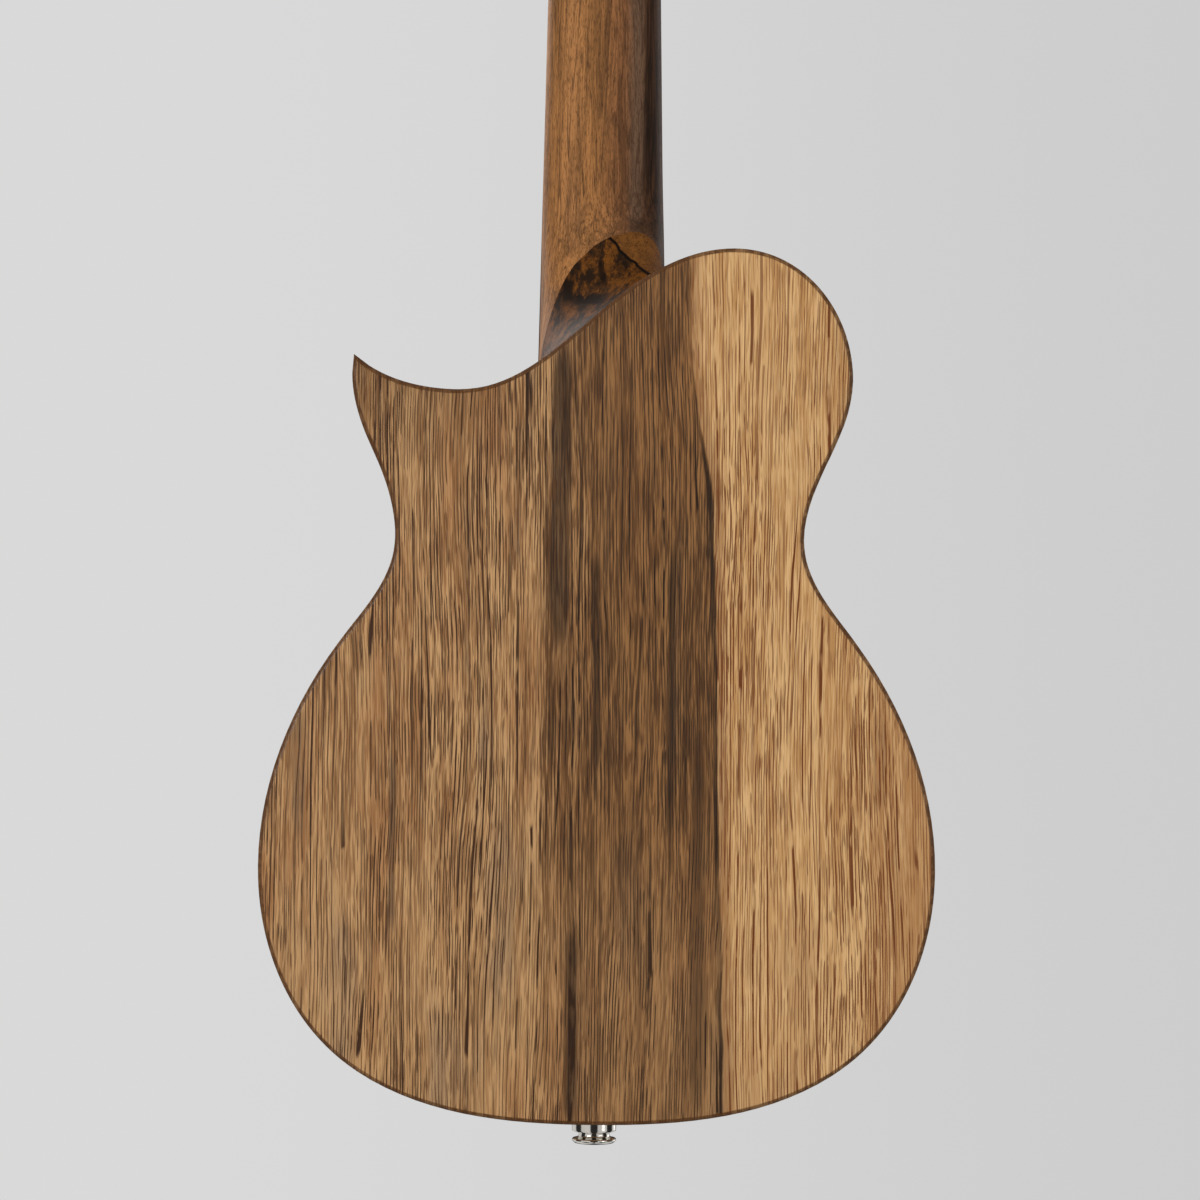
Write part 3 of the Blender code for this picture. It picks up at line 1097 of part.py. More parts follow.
def make_jack(woods):
    """The end pin: a strap button screwed on a barrel that a 6.35 mm plug goes into."""
    start = TAIL - GAP
    end = start - BUTTON_LENGTH
    centre = (0, MID_DEPTH, 0)
    bore = JACK_RADIUS + GAP
    profile = [
        (bore, start),
        (BUTTON_RADIUS, start),
        (BUTTON_RADIUS, start - BUTTON_COLLAR),
        (BUTTON_WAIST_RADIUS + BUTTON_FILLET, start - BUTTON_COLLAR - BUTTON_FILLET / 2),
        (BUTTON_WAIST_RADIUS, start - BUTTON_COLLAR - BUTTON_FILLET),
        (BUTTON_WAIST_RADIUS, end + BUTTON_LIP + BUTTON_FILLET),
        (BUTTON_WAIST_RADIUS + BUTTON_FILLET, end + BUTTON_LIP),
        (BUTTON_RADIUS, end + BUTTON_LIP * BUTTON_LIP_FLAT[0]),
        (BUTTON_RADIUS, end + BUTTON_LIP * BUTTON_LIP_FLAT[1]),
        (BUTTON_RADIUS - BUTTON_LIP * BUTTON_LIP_CHAMFER, end),
        (bore, end),
    ]
    make_object(lathe(profile, 24, "Z", centre), "strap_button", woods["steel"])
    barrel_end = end + JACK_LENGTH
    profile = [
        (JACK_BORE_RADIUS, end),
        (JACK_RADIUS, end),
        (JACK_RADIUS, barrel_end),
        (0, barrel_end),
        (0, end + JACK_BORE_LENGTH),
        (JACK_BORE_RADIUS, end + JACK_BORE_LENGTH),
    ]
    make_object(lathe(profile, 20, "Z", centre), "jack_barrel", woods["steel"])
    face = TAIL + RIM_INSIDE + TAIL_BLOCK_THICKNESS + GAP
    far = face + WASHER_THICKNESS
    washer = [(bore, face), (WASHER_RADIUS, face), (WASHER_RADIUS, far), (bore, far)]
    make_object(lathe(washer, 20, "Z", centre), "jack_washer", woods["steel"])
    seat = far + GAP
    corners = [heading(60 * i) * JACK_NUT_RADIUS for i in range(6)]
    hexagon = [(corner.x, MID_DEPTH + corner.y, seat) for corner in corners]
    nut = make_object(extrude_profile(hexagon, (0, 0, JACK_NUT_HEIGHT)), "jack_nut", woods["steel"])
    bore_tool = rod(bore, seat - MM, seat + JACK_NUT_HEIGHT + MM, 20, "Z", centre)
    boolean(nut, make_object(bore_tool, "jack_nut_cutter"))


def main():
    clear_scene()
    woods = {
        "body": make_material("figured_limba", (0.42, 0.28, 0.16), 0.55),
        "side": make_material("limba_side", (0.30, 0.18, 0.09), 0.55),
        "inner": make_material("spruce_and_cedar", (0.62, 0.47, 0.30), 0.7),
        "neck": make_material("oiled_neck_wood", (0.40, 0.20, 0.08), 0.45),
        "heel": make_material("dark_heel_wood", (0.22, 0.12, 0.05), 0.45),
        "dark": make_material("rosewood", (0.07, 0.045, 0.035), 0.5),
        "bone": make_material("bone", (0.82, 0.78, 0.68), 0.4),
        "steel": make_material("nickel_plate", (0.78, 0.76, 0.72), 0.2, 1.0),
        "brass": make_material("brass", (0.78, 0.58, 0.28), 0.3, 1.0),
        "carbon": make_material("carbon_bar", (0.03, 0.03, 0.03), 0.4),
        "string": make_material("clear_string", (0.75, 0.74, 0.70), 0.3),
        "plastic": make_material("lead_jacket", (0.05, 0.05, 0.05), 0.5),
    }
    head = bpy.data.objects.new("headstock_frame", None)
    bpy.context.scene.collection.objects.link(head)
    head.matrix_world = HEAD_MATRIX
    top, outline = make_body(woods)
    make_bridge(woods, top)
    make_neck(woods, outline, head)
    make_fretboard(woods)
    make_tuners(woods, head)
    make_strings(woods)
    make_jack(woods)
    apply_cuts()


main()
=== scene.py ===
"""Looks of the tenor ukulele: every visible surface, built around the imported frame.

Axes are the frame's: +Z runs up the neck, -Y is the playing face and +X is the treble side, with the
cutaway. Each operator in the sidebar's Ukulele tab makes one group of pieces, and main() runs them all.
"""

import math

import bmesh
import bpy
from bpy.props import FloatProperty, FloatVectorProperty, IntProperty, PointerProperty
from mathutils import Matrix, Vector
from mathutils.geometry import interpolate_bezier


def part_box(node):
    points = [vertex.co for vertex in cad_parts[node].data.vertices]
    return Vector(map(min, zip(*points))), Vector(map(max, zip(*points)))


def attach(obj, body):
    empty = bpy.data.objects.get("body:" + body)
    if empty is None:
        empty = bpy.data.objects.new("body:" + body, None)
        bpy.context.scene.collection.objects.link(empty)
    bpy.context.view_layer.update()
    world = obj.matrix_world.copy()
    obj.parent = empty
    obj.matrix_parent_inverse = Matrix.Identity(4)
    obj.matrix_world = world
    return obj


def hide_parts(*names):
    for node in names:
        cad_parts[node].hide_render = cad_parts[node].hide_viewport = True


bl_info = {
    "name": "Tenor Ukulele Looks",
    "version": (1, 0, 0),
    "blender": (4, 5, 0),
    "location": "View3D > Sidebar > Ukulele",
    "description": "Builds the visible surfaces of a cutaway tenor ukulele around its CAD frame",
    "category": "Object",
}

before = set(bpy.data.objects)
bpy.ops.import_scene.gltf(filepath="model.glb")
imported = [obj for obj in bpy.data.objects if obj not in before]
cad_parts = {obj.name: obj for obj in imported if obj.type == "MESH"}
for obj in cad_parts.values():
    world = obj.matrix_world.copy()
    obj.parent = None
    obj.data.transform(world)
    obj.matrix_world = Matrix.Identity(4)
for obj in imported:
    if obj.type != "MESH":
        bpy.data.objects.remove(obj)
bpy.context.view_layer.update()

MM = 0.001
SEAT = 0.3 * MM  # the clearance that the CAD leaves between two seated pieces
SAME_POINT = 1e-6  # metres, closer than which two points are one
ON_PLANE = 1e-5  # metres, within which a point lies on a plane
SHARP = math.radians(32)  # edges that turn further stay sharp
TURN_STEPS = 96  # round the soundhole and the backdrop
FRET_COUNT = 18
DOUBLE_MARK = 12  # the fret with two dots
STRINGS = ("g", "c", "e", "a")
POST_SIDES = {"g": -1, "c": -1, "e": 1, "a": 1}
FRET_MARKS = (5, 7, 10, 12, 15)


def linear(red, green, blue):
    """A screen colour from 0 to 255 as the linear numbers that shaders take."""
    return tuple(((level / 255 + 0.055) / 1.055) ** 2.4 for level in (red, green, blue))


def shaded(colour, share):
    """A colour with its levels multiplied by a share."""
    return tuple(level * share for level in colour)


def length(name, value, about):
    return FloatProperty(name=name, description=about, default=value, unit="LENGTH", precision=5)


def tint(name, colour, about):
    return FloatVectorProperty(
        name=name, description=about, default=linear(*colour), size=3, subtype="COLOR", min=0, max=1
    )


class UkuleleWoods(bpy.types.PropertyGroup):
    """Colours of the woods."""

    tan_light: tint("Tan, light", (202, 157, 107), "Light wood of the back's tan side")
    tan_dark: tint("Tan, dark", (148, 105, 63), "Darker wood of the back's tan side")
    tan_line: tint("Tan, lines", (64, 37, 16), "Thin grain lines of the back's tan side")
    heart_light: tint("Heart, light", (154, 109, 64), "Light wood of the dark band in the middle")
    heart_dark: tint("Heart, dark", (88, 57, 29), "Darker wood of the dark band in the middle")
    heart_line: tint("Heart, lines", (46, 29, 15), "Thin grain lines of the dark band")
    honey_light: tint("Honey, light", (227, 183, 127), "Light wood of the back's pale bass side")
    honey_dark: tint("Honey, dark", (194, 144, 89), "Darker wood of the back's pale bass side")
    honey_line: tint("Honey, lines", (112, 58, 20), "Thin grain lines of the back's pale bass side")
    pore: tint("Pores", (112, 69, 32), "The short open pores of the body's wood")
    rust: tint("Warm patches", (158, 104, 58), "Warmer patches in the body's wood")
    ash: tint("Cool patches", (138, 118, 96), "Cooler patches in the body's wood")
    smoke: tint("Smoky figure", (84, 66, 50), "Grey-brown smoky patches")
    # The rounded edge's colour is partly its end grain and partly painted shade where the edge turns away
    # from the light.
    edge: tint("Rounded edge", (84, 51, 22), "Where the plates' rounded edges cut through the fibres")
    neck_warm: tint("Neck, warm", (170, 116, 66), "The neck's orange-brown wood")
    neck_deep: tint("Neck, deep", (136, 90, 55), "Deeper colour in the middle of the neck")
    neck_cool: tint("Neck, cool", (100, 76, 58), "The bluish-brown streak towards the neck's bass side")
    neck_black: tint("Neck, dark streak", (68, 43, 25), "The blackish streak along the neck's bass edge")
    heel_light: tint("Heel, light", (112, 66, 20), "Ochre of the stacked heel")
    heel_dark: tint("Heel, dark", (40, 25, 12), "Dark figure of the stacked heel")
    heel_pale: tint("Heel, pale side", (124, 78, 34), "Honey-brown bass side of the stacked heel")
    # The heel's foot colour is a painted sheen where the hollow foot faces the light. It is not a colour of
    # the wood.
    heel_foot_sheen: tint("Heel, foot", (38, 26, 17), "Greyish foot of the heel along the body's edge")
    spruce: tint("Spruce", (214, 182, 136), "Braces, linings and blocks")
    rosewood: tint("Rosewood", (74, 50, 39), "Fretboard, bridge and headstock overlay")


class UkuleleBody(bpy.types.PropertyGroup):
    """Sizes of the body shell that the frame does not give."""

    edge_radius: length("Edge radius", 1.8 * MM, "Round-over along both plates")
    edge_steps: IntProperty(name="Edge steps", description="Faces across a rounded edge", default=6)
    hole_radius: length("Soundhole radius", 29 * MM, "Radius of the soundhole")
    hole_drop: length("Soundhole height", -322.57 * MM, "Height of the soundhole's middle")
    hole_edge: length("Soundhole edge", 0.6 * MM, "Rounding of the soundhole's edge")
    rosette_start: length("Rosette start", 31.5 * MM, "Inner radius of the ring round the soundhole")
    rosette_width: length("Rosette width", 4.2 * MM, "Width of the ring round the soundhole")
    side_thickness: length("Side thickness", 2.2 * MM, "Thickness of the bent sides")


class UkuleleNeck(bpy.types.PropertyGroup):
    """Sizes of the neck, heel and headstock."""

    depth_at_nut: length("Depth at the nut", 13.5 * MM, "Neck depth without the fretboard")
    depth_at_joint: length("Depth at the body", 15.5 * MM, "Neck depth where the heel begins")
    roundness: FloatProperty(name="Roundness", description="Exponent of the neck's back", default=2.5)
    sweep: length("Heel sweep", 48 * MM, "Length over which the heel rises out of the neck")
    follow_start: length("Follow start", 5 * MM, "Height up to which sections follow the body's edge fully")
    heel_roundness: FloatProperty(name="Heel roundness", description="The same at the body", default=3.0)
    follow: length("Heel follow", 60 * MM, "Height above the body where sections are square again")
    glue_plane: length("Heel glue plane", 20 * MM, "Depth of the joint between neck and heel block")
    tilt: FloatProperty(
        name="Headstock tilt", description="Backward tilt", default=math.radians(12), subtype="ANGLE"
    )
    head_thickness: length("Headstock thickness", 13 * MM, "Wood and overlay together")
    overlay_thickness: length("Overlay thickness", 2 * MM, "Depth of the headstock's overlay")
    scale_length: length("Scale length", 432 * MM, "Nut to saddle")
    fret_width: length("Fret width", 2 * MM, "Width of the fret crowns")
    fret_crown: length("Fret crown", 1 * MM, "Height of the fret crowns")


class UkuleleHardware(bpy.types.PropertyGroup):
    """Sizes and colours of the tuners, strings and end pin."""

    post_offset: length("Post offset", 19.5 * MM, "Tuner posts from the centreline")
    post_low: length("Lower posts", 40 * MM, "Height of the g and a posts above the nut")
    post_high: length("Upper posts", 82 * MM, "Height of the c and e posts above the nut")
    groove_depth: length("Bridge groove", 3.4 * MM, "Depth of the groove between saddle and tie block")
    bushing_radius: length("Bushing radius", 4.7 * MM, "Rings round the posts on the headstock's face")
    knob_half_height: length("Knob half height", 7.2 * MM, "Half the knobs' height")
    knob_half_thickness: length("Knob half thickness", 4.2 * MM, "Half the knobs' thickness")
    nickel: tint("Nickel", (226, 222, 214), "Plating of the hardware")
    brass: tint("Brass", (205, 162, 88), "Cogs")
    bone: tint("Bone", (232, 224, 202), "Nut, saddle and dots")
    string: tint("String", (222, 220, 208), "Clear strings")


class UkuleleStage(bpy.types.PropertyGroup):
    """Camera, light and backdrop."""

    camera_distance: length("Camera distance", 1.56, "Camera from the plane of the soundboard")
    camera_height: length("Camera height", -337.87 * MM, "Height that the camera looks at")
    camera_offset: length("Camera offset", -0.34 * MM, "Camera from the centreline")
    camera_roll: FloatProperty(
        name="Camera roll", description="Tilt of the picture", default=math.radians(0.535), subtype="ANGLE"
    )
    focal_length: FloatProperty(name="Focal length", description="In millimetres", default=133.14)
    floor_level: length("Floor", -1.8, "Height of the floor, low enough for views from below")
    floor_radius: length("Floor radius", 3.3, "Where the floor begins to curve up")
    cove_radius: length("Cove radius", 2.0, "Radius of the curve between floor and wall")
    paper: tint("Backdrop", (217, 217, 217), "The pale grey backdrop")
    lamp_power: FloatProperty(name="Lamp power", description="Power of the main lamp", default=30)
    world_light: FloatProperty(name="World light", description="Strength of the even light", default=0.55)


# Sockets of a Mix node that mixes colours: its factor, its two colours and its result
MIX_FACTOR, MIX_FIRST, MIX_SECOND, MIX_RESULT = 0, 6, 7, 2


class Finish:
    """A material being built: a Principled shader and short ways to add nodes to it."""

    def __init__(self, name, roughness=0.5, metallic=0.0):
        self.material = bpy.data.materials.new(name)
        self.material.use_nodes = True
        self.tree = self.material.node_tree
        self.shader = self.tree.nodes["Principled BSDF"]
        self.set("Roughness", roughness)
        self.set("Metallic", metallic)
        self.position = self.add("TexCoord").outputs["Object"]

    def set(self, socket, value):
        self.feed(self.shader.inputs[socket], value)

    def feed(self, socket, value):
        if isinstance(value, bpy.types.NodeSocket):
            self.tree.links.new(value, socket)
        elif value is not None:
            whole = hasattr(value, "__len__") and len(value) == 3 and socket.type == "RGBA"
            socket.default_value = (*value, 1) if whole else value

    def add(self, kind, *inputs, **settings):
        made = self.tree.nodes.new("ShaderNode" + kind)
        for name, value in settings.items():
            setattr(made, name, value)
        for socket, value in zip(made.inputs, inputs):
            self.feed(socket, value)
        return made

    def math(self, operation, *inputs):
        return self.add("Math", *inputs, operation=operation).outputs[0]

    def axes(self, vector):
        return self.add("SeparateXYZ", vector).outputs

    def vector(self, x, y, z):
        return self.add("CombineXYZ", x, y, z).outputs[0]

    def stretch(self, vector, scale, shift=(0, 0, 0)):
        return self.add("Mapping", vector, shift, None, scale).outputs[0]

    def noise(self, vector, scale, detail=2, roughness=0.5, shift=(0, 0, 0)):
        made = self.add("TexNoise")
        self.feed(made.inputs["Vector"], self.stretch(vector, scale, shift))
        self.feed(made.inputs["Scale"], 1.0)
        self.feed(made.inputs["Detail"], detail)
        self.feed(made.inputs["Roughness"], roughness)
        return made.outputs[0]

    def between(self, value, low, high, to_low=0.0, to_high=1.0):
        """A smooth step from to_low to to_high as the value goes from low to high."""
        made = self.add("MapRange", value, low, high, to_low, to_high, interpolation_type="SMOOTHSTEP")
        return made.outputs[0]

    def line(self, value, low, high, to_low, to_high):
        return self.add("MapRange", value, low, high, to_low, to_high).outputs[0]

    def mix(self, factor, first, second):
        """From the first colour to the second as the factor goes from 0 to 1."""
        made = self.add("Mix", data_type="RGBA")
        self.feed(made.inputs[MIX_FACTOR], factor)
        self.feed(made.inputs[MIX_FIRST], first)
        self.feed(made.inputs[MIX_SECOND], second)
        return made.outputs[MIX_RESULT]

    def times(self, *factors):
        product = factors[0]
        for factor in factors[1:]:
            product = self.math("MULTIPLY", product, factor)
        return product

    def sway(self, value, noise, reach):
        """The value moved up and down by a noise, over a reach in all."""
        return self.math("MULTIPLY_ADD", self.math("SUBTRACT", noise, 0.5), reach, value)

    def distance(self, value, place):
        return self.math("ABSOLUTE", self.math("SUBTRACT", value, place))

    def average(self, first, second, share=0.5):
        """The average of two values, of which the first has the share given."""
        return self.math("ADD", self.times(first, share), self.times(second, 1 - share))

    def bump(self, height, distance, strength):
        made = self.add("Bump")
        self.feed(made.inputs["Height"], height)
        self.feed(made.inputs["Distance"], distance)
        self.feed(made.inputs["Strength"], strength)
        self.set("Normal", made.outputs[0])


def wander(finish, x, vector, amounts):
    """Moves x a little from place to place, so that straight grain wavers. Amounts are (scale, reach)."""
    for scale, reach in amounts:
        x = finish.sway(x, finish.noise(vector, scale), reach)
    return x


STREAK_CORE = 0.25  # share of a streak's half width that has its full strength
STREAK_FADE = 0.3  # share of a streak's length over which each end fades


def streak(finish, x, z, place, half_width, low, high):
    """A mask for a long soft streak at x = place between two heights."""
    across = finish.between(finish.distance(x, place), half_width, half_width * STREAK_CORE)
    fade = (high - low) * STREAK_FADE
    up = finish.between(z, low - fade / 2, low + fade / 2)
    down = finish.between(z, high + fade / 2, high - fade / 2)
    return finish.times(across, up, down)


# The figure of the back: place across, half width, lowest and highest point in mm, and strength
HEART_STREAKS = (
    (13.2, 5.0, -352, -255, 0.8),
    (10.5, 4.6, -390, -345, 0.3),
    (8.6, 4.2, -515, -448, 0.55),
    (0.5, 2.2, -396, -322, 0.65),
    (-8.0, 2.0, -330, -270, 0.35),
    (-24.5, 2.4, -420, -318, 0.6),
    (-34.5, 5.0, -515, -380, 0.45),
    (-15.0, 1.8, -500, -430, 0.35),
)
SMOKE_PATCHES = (
    (69.5, 2.2, -452, -388, 0.5),
    (60.0, 2.6, -420, -330, 0.25),
    (101.0, 5.0, -424, -372, 0.4),
    (104.0, 4.4, -478, -420, 0.25),
    (45.0, 2.0, -380, -300, 0.35),
    (33.0, 2.4, -500, -430, 0.35),
    (28.0, 2.8, -330, -270, 0.35),
    (88.0, 2.4, -500, -400, 0.25),
    (-95.0, 5.0, -410, -372, 0.35),
    (-101.0, 2.6, -470, -400, 0.25),
    (-81.0, 3.6, -290, -240, 0.25),
)


def grain_lines(finish, x, vector, spacing, jitter, width, shift):
    """Lines along the grain that are thin everywhere and unevenly spaced."""
    noise = finish.noise(vector, (110, 40, 4), 2, 0.5, shift)
    place = finish.sway(finish.math("DIVIDE", x, spacing), noise, jitter)
    off = finish.math("PINGPONG", place, 0.5)
    core = width * 0.55
    return finish.between(off, width, core)


def clusters(finish, streaks, x, z, fibre):
    """One ragged mask for a table of streaks, made of fibres that thin out towards its edges."""
    total = 0.0
    for place, half, low, high, strength in streaks:
        mask = finish.times(streak(finish, x, z, place * MM, half * MM, low * MM, high * MM), strength)
        total = finish.math("MAXIMUM", mask, total)
    ragged = finish.sway(total, fibre, 0.9)
    return finish.between(ragged, 0.22, 0.58)


def thin_lines(finish, vector, scale, width):
    """Thin wavering lines, where a smooth noise passes its middle."""
    noise = finish.noise(vector, scale, 1, 0.35)
    core = width * 0.35
    return finish.between(finish.distance(noise, 0.5), width, core)


FRONT_SHIFT = 6 * MM  # the front's figure is the back's, mirrored and moved across by this


def limba(name, woods, front_face):
    """The plates' wood: tan with thin dark lines, a dark heart, a honey-coloured side and short pores. It
    also has painted light on the plates' lower part and partly painted shade on the rounded edges.
    """
    finish = Finish(name, 0.5)
    finish.set("Specular IOR Level", 0.22)
    x, y, z = finish.axes(finish.position)
    if front_face:
        x = finish.math("MULTIPLY_ADD", x, -1, FRONT_SHIFT)
    plain = finish.vector(x, y, z)
    near = wander(finish, x, plain, (((42, 42, 9), 0.0022), ((420, 90, 60), 0.0022)))
    waves = (((8, 8, 3.2), 0.014), ((40, 40, 8), 0.0046), ((140, 90, 30), 0.001))
    warped = wander(finish, x, plain, waves)
    grain = finish.vector(warped, y, z)
    dense = finish.between(finish.noise(plain, (38, 30, 9), 2, 0.55, (2, 6, 3)), 0.4, 0.6)
    breaks = finish.between(finish.noise(grain, (170, 60, 46), 2, 0.6, (5, 1, 2)), 0.43, 0.53, 0.12, 1)
    groups = finish.between(finish.noise(plain, (75, 30, 8), 2, 0.55, (6, 2, 8)), 0.4, 0.56, 0.5, 1)
    bold = finish.times(grain_lines(finish, warped, grain, 0.0023, 5, 0.12, (3, 5, 2)), breaks, groups)
    gaps = finish.between(finish.noise(grain, (300, 60, 45), 2, 0.6, (9, 4, 7)), 0.44, 0.53)
    fine = finish.times(grain_lines(finish, warped, grain, 0.00105, 5, 0.19, (3, 8, 4)), gaps)
    lines = finish.math("MAXIMUM", bold, finish.times(fine, finish.line(dense, 0, 1, 0.6, 1)))
    fibre = finish.noise(grain, (1500, 300, 58), 2, 0.65)
    broad = finish.noise(grain, (230, 80, 12), 3, 0.6)
    tone = finish.between(finish.average(fibre, broad, 0.65), 0.42, 0.58)

    tail, waist, shoulder = -0.5, -0.31, -0.25
    border = finish.between(z, waist, shoulder, -0.0385, -0.0302)
    border = finish.math("ADD", border, finish.line(z, tail, waist, -0.0055, 0))
    past_border = finish.math("SUBTRACT", near, border)
    honey = finish.between(past_border, 0.0003, -0.0004)
    soft_edge = finish.sway(finish.sway(warped, broad, 0.05), fibre, 0.03)
    # The heart fades towards the bottom. Together with the mix into the light tone below, this is painted
    # light that makes the plates' lower part lighter.
    heart = finish.times(finish.between(soft_edge, 0.034, 0.006), finish.between(z, -0.47, -0.4, 0.66, 1))
    shades = []
    for tan, dark, pale in (
        (woods.tan_light, woods.heart_light, woods.honey_light),
        (woods.tan_dark, woods.heart_dark, woods.honey_dark),
        (woods.tan_line, woods.heart_line, woods.honey_line),
    ):
        shades.append(finish.mix(honey, finish.mix(heart, tan, dark), pale))
    light, deep, line = shades
    colour = finish.mix(tone, deep, light)
    # Painted light: the lower part is mixed towards the light tone, as if lit more there.
    colour = finish.mix(finish.between(z, -0.38, -0.5, 0, 0.3), colour, light)
    warmth = finish.noise(grain, (46, 30, 9), 3, 0.6, (8, 2, 9))
    warm_share = finish.times(finish.between(warmth, 0.5, 0.66, 0, 0.5), finish.line(heart, 0, 1, 1, 0.25))
    colour = finish.mix(warm_share, colour, woods.rust)
    cool_share = finish.between(warmth, 0.47, 0.34, 0, 0.4)
    colour = finish.mix(cool_share, colour, finish.mix(heart, woods.ash, deep))
    for streaks, shade in ((HEART_STREAKS, woods.heart_line), (SMOKE_PATCHES, woods.smoke)):
        colour = finish.mix(finish.times(clusters(finish, streaks, near, z, fibre), 0.72), colour, shade)
    lean = finish.noise(grain, (150, 150, 5), 2, 0.6, (3, 7, 1))
    lean_share = finish.times(finish.between(lean, 0.6, 0.76, 0, 0.35), finish.math("SUBTRACT", 1, honey))
    colour = finish.mix(lean_share, colour, woods.smoke)
    pores = finish.noise(grain, (1900, 700, 85), 1, 0.5, (11, 2, 5))
    open_pores = finish.times(finish.between(pores, 0.54, 0.61), finish.line(dense, 0, 1, 0.35, 1))
    colour = finish.mix(finish.times(open_pores, 0.7), colour, finish.mix(0.35, woods.pore, line))
    horn = finish.times(finish.between(z, -0.3, -0.245), finish.between(soft_edge, 0.03, 0.045))
    colour = finish.mix(finish.times(horn, 0.5), colour, woods.heart_dark)
    sunset = finish.times(finish.between(soft_edge, -0.084, -0.1), finish.between(z, -0.33, -0.37))
    colour = finish.mix(finish.times(sunset, 0.42), colour, woods.rust)
    colour = finish.mix(lines, colour, line)
    warm_strip = finish.between(past_border, -0.0050, -0.0010, 0, 0.45)
    colour = finish.mix(finish.times(warm_strip, honey), colour, woods.honey_line)
    rim_line = finish.between(finish.distance(past_border, 0.0011), 0.0010, 0.0003)
    below_shoulder = finish.between(z, -0.265, -0.29)
    rim_line = finish.times(rim_line, below_shoulder, finish.line(broad, 0.4, 0.6, 0.35, 0.95))
    colour = finish.mix(rim_line, colour, woods.heart_line)
    back_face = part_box("back_plate")[1].y
    depth = y if front_face else finish.math("SUBTRACT", back_face, y)
    mottle = finish.between(finish.noise(plain, (300, 300, 300), 2, 0.6), 0.4, 0.6, 0.75, 1)
    # Partly end grain, partly painted shade: the round-over darkens where it turns away from the light.
    round_over_grain_and_shade = finish.between(depth, 0.00001, 0.00009)
    colour = finish.mix(finish.times(round_over_grain_and_shade, mottle, 0.95), colour, woods.edge)
    finish.set("Base Color", colour)
    rough = finish.math("MULTIPLY_ADD", open_pores, 0.2, finish.line(depth, 0, 0.00003, 0.44, 0.25))
    rough = finish.math("ADD", rough, finish.line(depth, 0.2 * MM, 0.5 * MM, 0, 0.5))
    finish.set("Roughness", rough)
    height = finish.math("MULTIPLY_ADD", lines, -0.6, finish.math("MULTIPLY_ADD", open_pores, -1, fibre))
    finish.bump(height, 0.0001, 0.5)
    return finish.material


def side_wood(name, woods):
    """The bent sides: the same wood, with its grain running along the rim on the UV map."""
    finish = Finish(name, 0.48)
    finish.set("Specular IOR Level", 0.25)
    along, across, _ = finish.axes(finish.add("UVMap").outputs[0])
    slice_at = 0.3  # any level of the noise: the sides need one in two directions only
    plain = finish.vector(across, slice_at, along)
    warped = wander(finish, across, plain, (((12, 1, 3), 0.005), ((50, 1, 8), 0.0014)))
    grain = finish.vector(warped, slice_at, along)
    breaks = finish.between(finish.noise(grain, (80, 1, 26), 2, 0.6, (5, 1, 2)), 0.4, 0.55, 0.2, 1)
    bold = finish.times(grain_lines(finish, warped, grain, 0.0027, 4, 0.11, (3, 5, 2)), breaks)
    fine = finish.times(grain_lines(finish, warped, grain, 0.00125, 6, 0.18, (3, 8, 4)), 0.6)
    lines = finish.math("MAXIMUM", bold, fine)
    fibre = finish.noise(grain, (1500, 1, 30), 2, 0.6)
    broad = finish.noise(grain, (120, 1, 5), 3, 0.6)
    tone = finish.average(fibre, broad)
    colour = finish.mix(finish.between(tone, 0.4, 0.6), woods.tan_dark, woods.tan_light)
    smoky = finish.noise(grain, (60, 1, 2.5), 2, 0.6, (5, 0, 9))
    colour = finish.mix(finish.between(smoky, 0.5, 0.7, 0, 0.5), colour, woods.heart_dark)
    pores = finish.between(finish.noise(grain, (1500, 1, 95), 1, 0.5, (1, 2, 5)), 0.56, 0.64)
    colour = finish.mix(finish.times(pores, 0.5), colour, woods.pore)
    colour = finish.mix(finish.times(lines, 0.5), colour, woods.tan_line)
    finish.set("Base Color", colour)
    finish.set("Roughness", finish.math("MULTIPLY_ADD", pores, 0.2, 0.44))
    height = finish.math("MULTIPLY_ADD", lines, -0.6, finish.math("MULTIPLY_ADD", pores, -1, fibre))
    finish.bump(height, 0.0001, 0.5)
    return finish.material


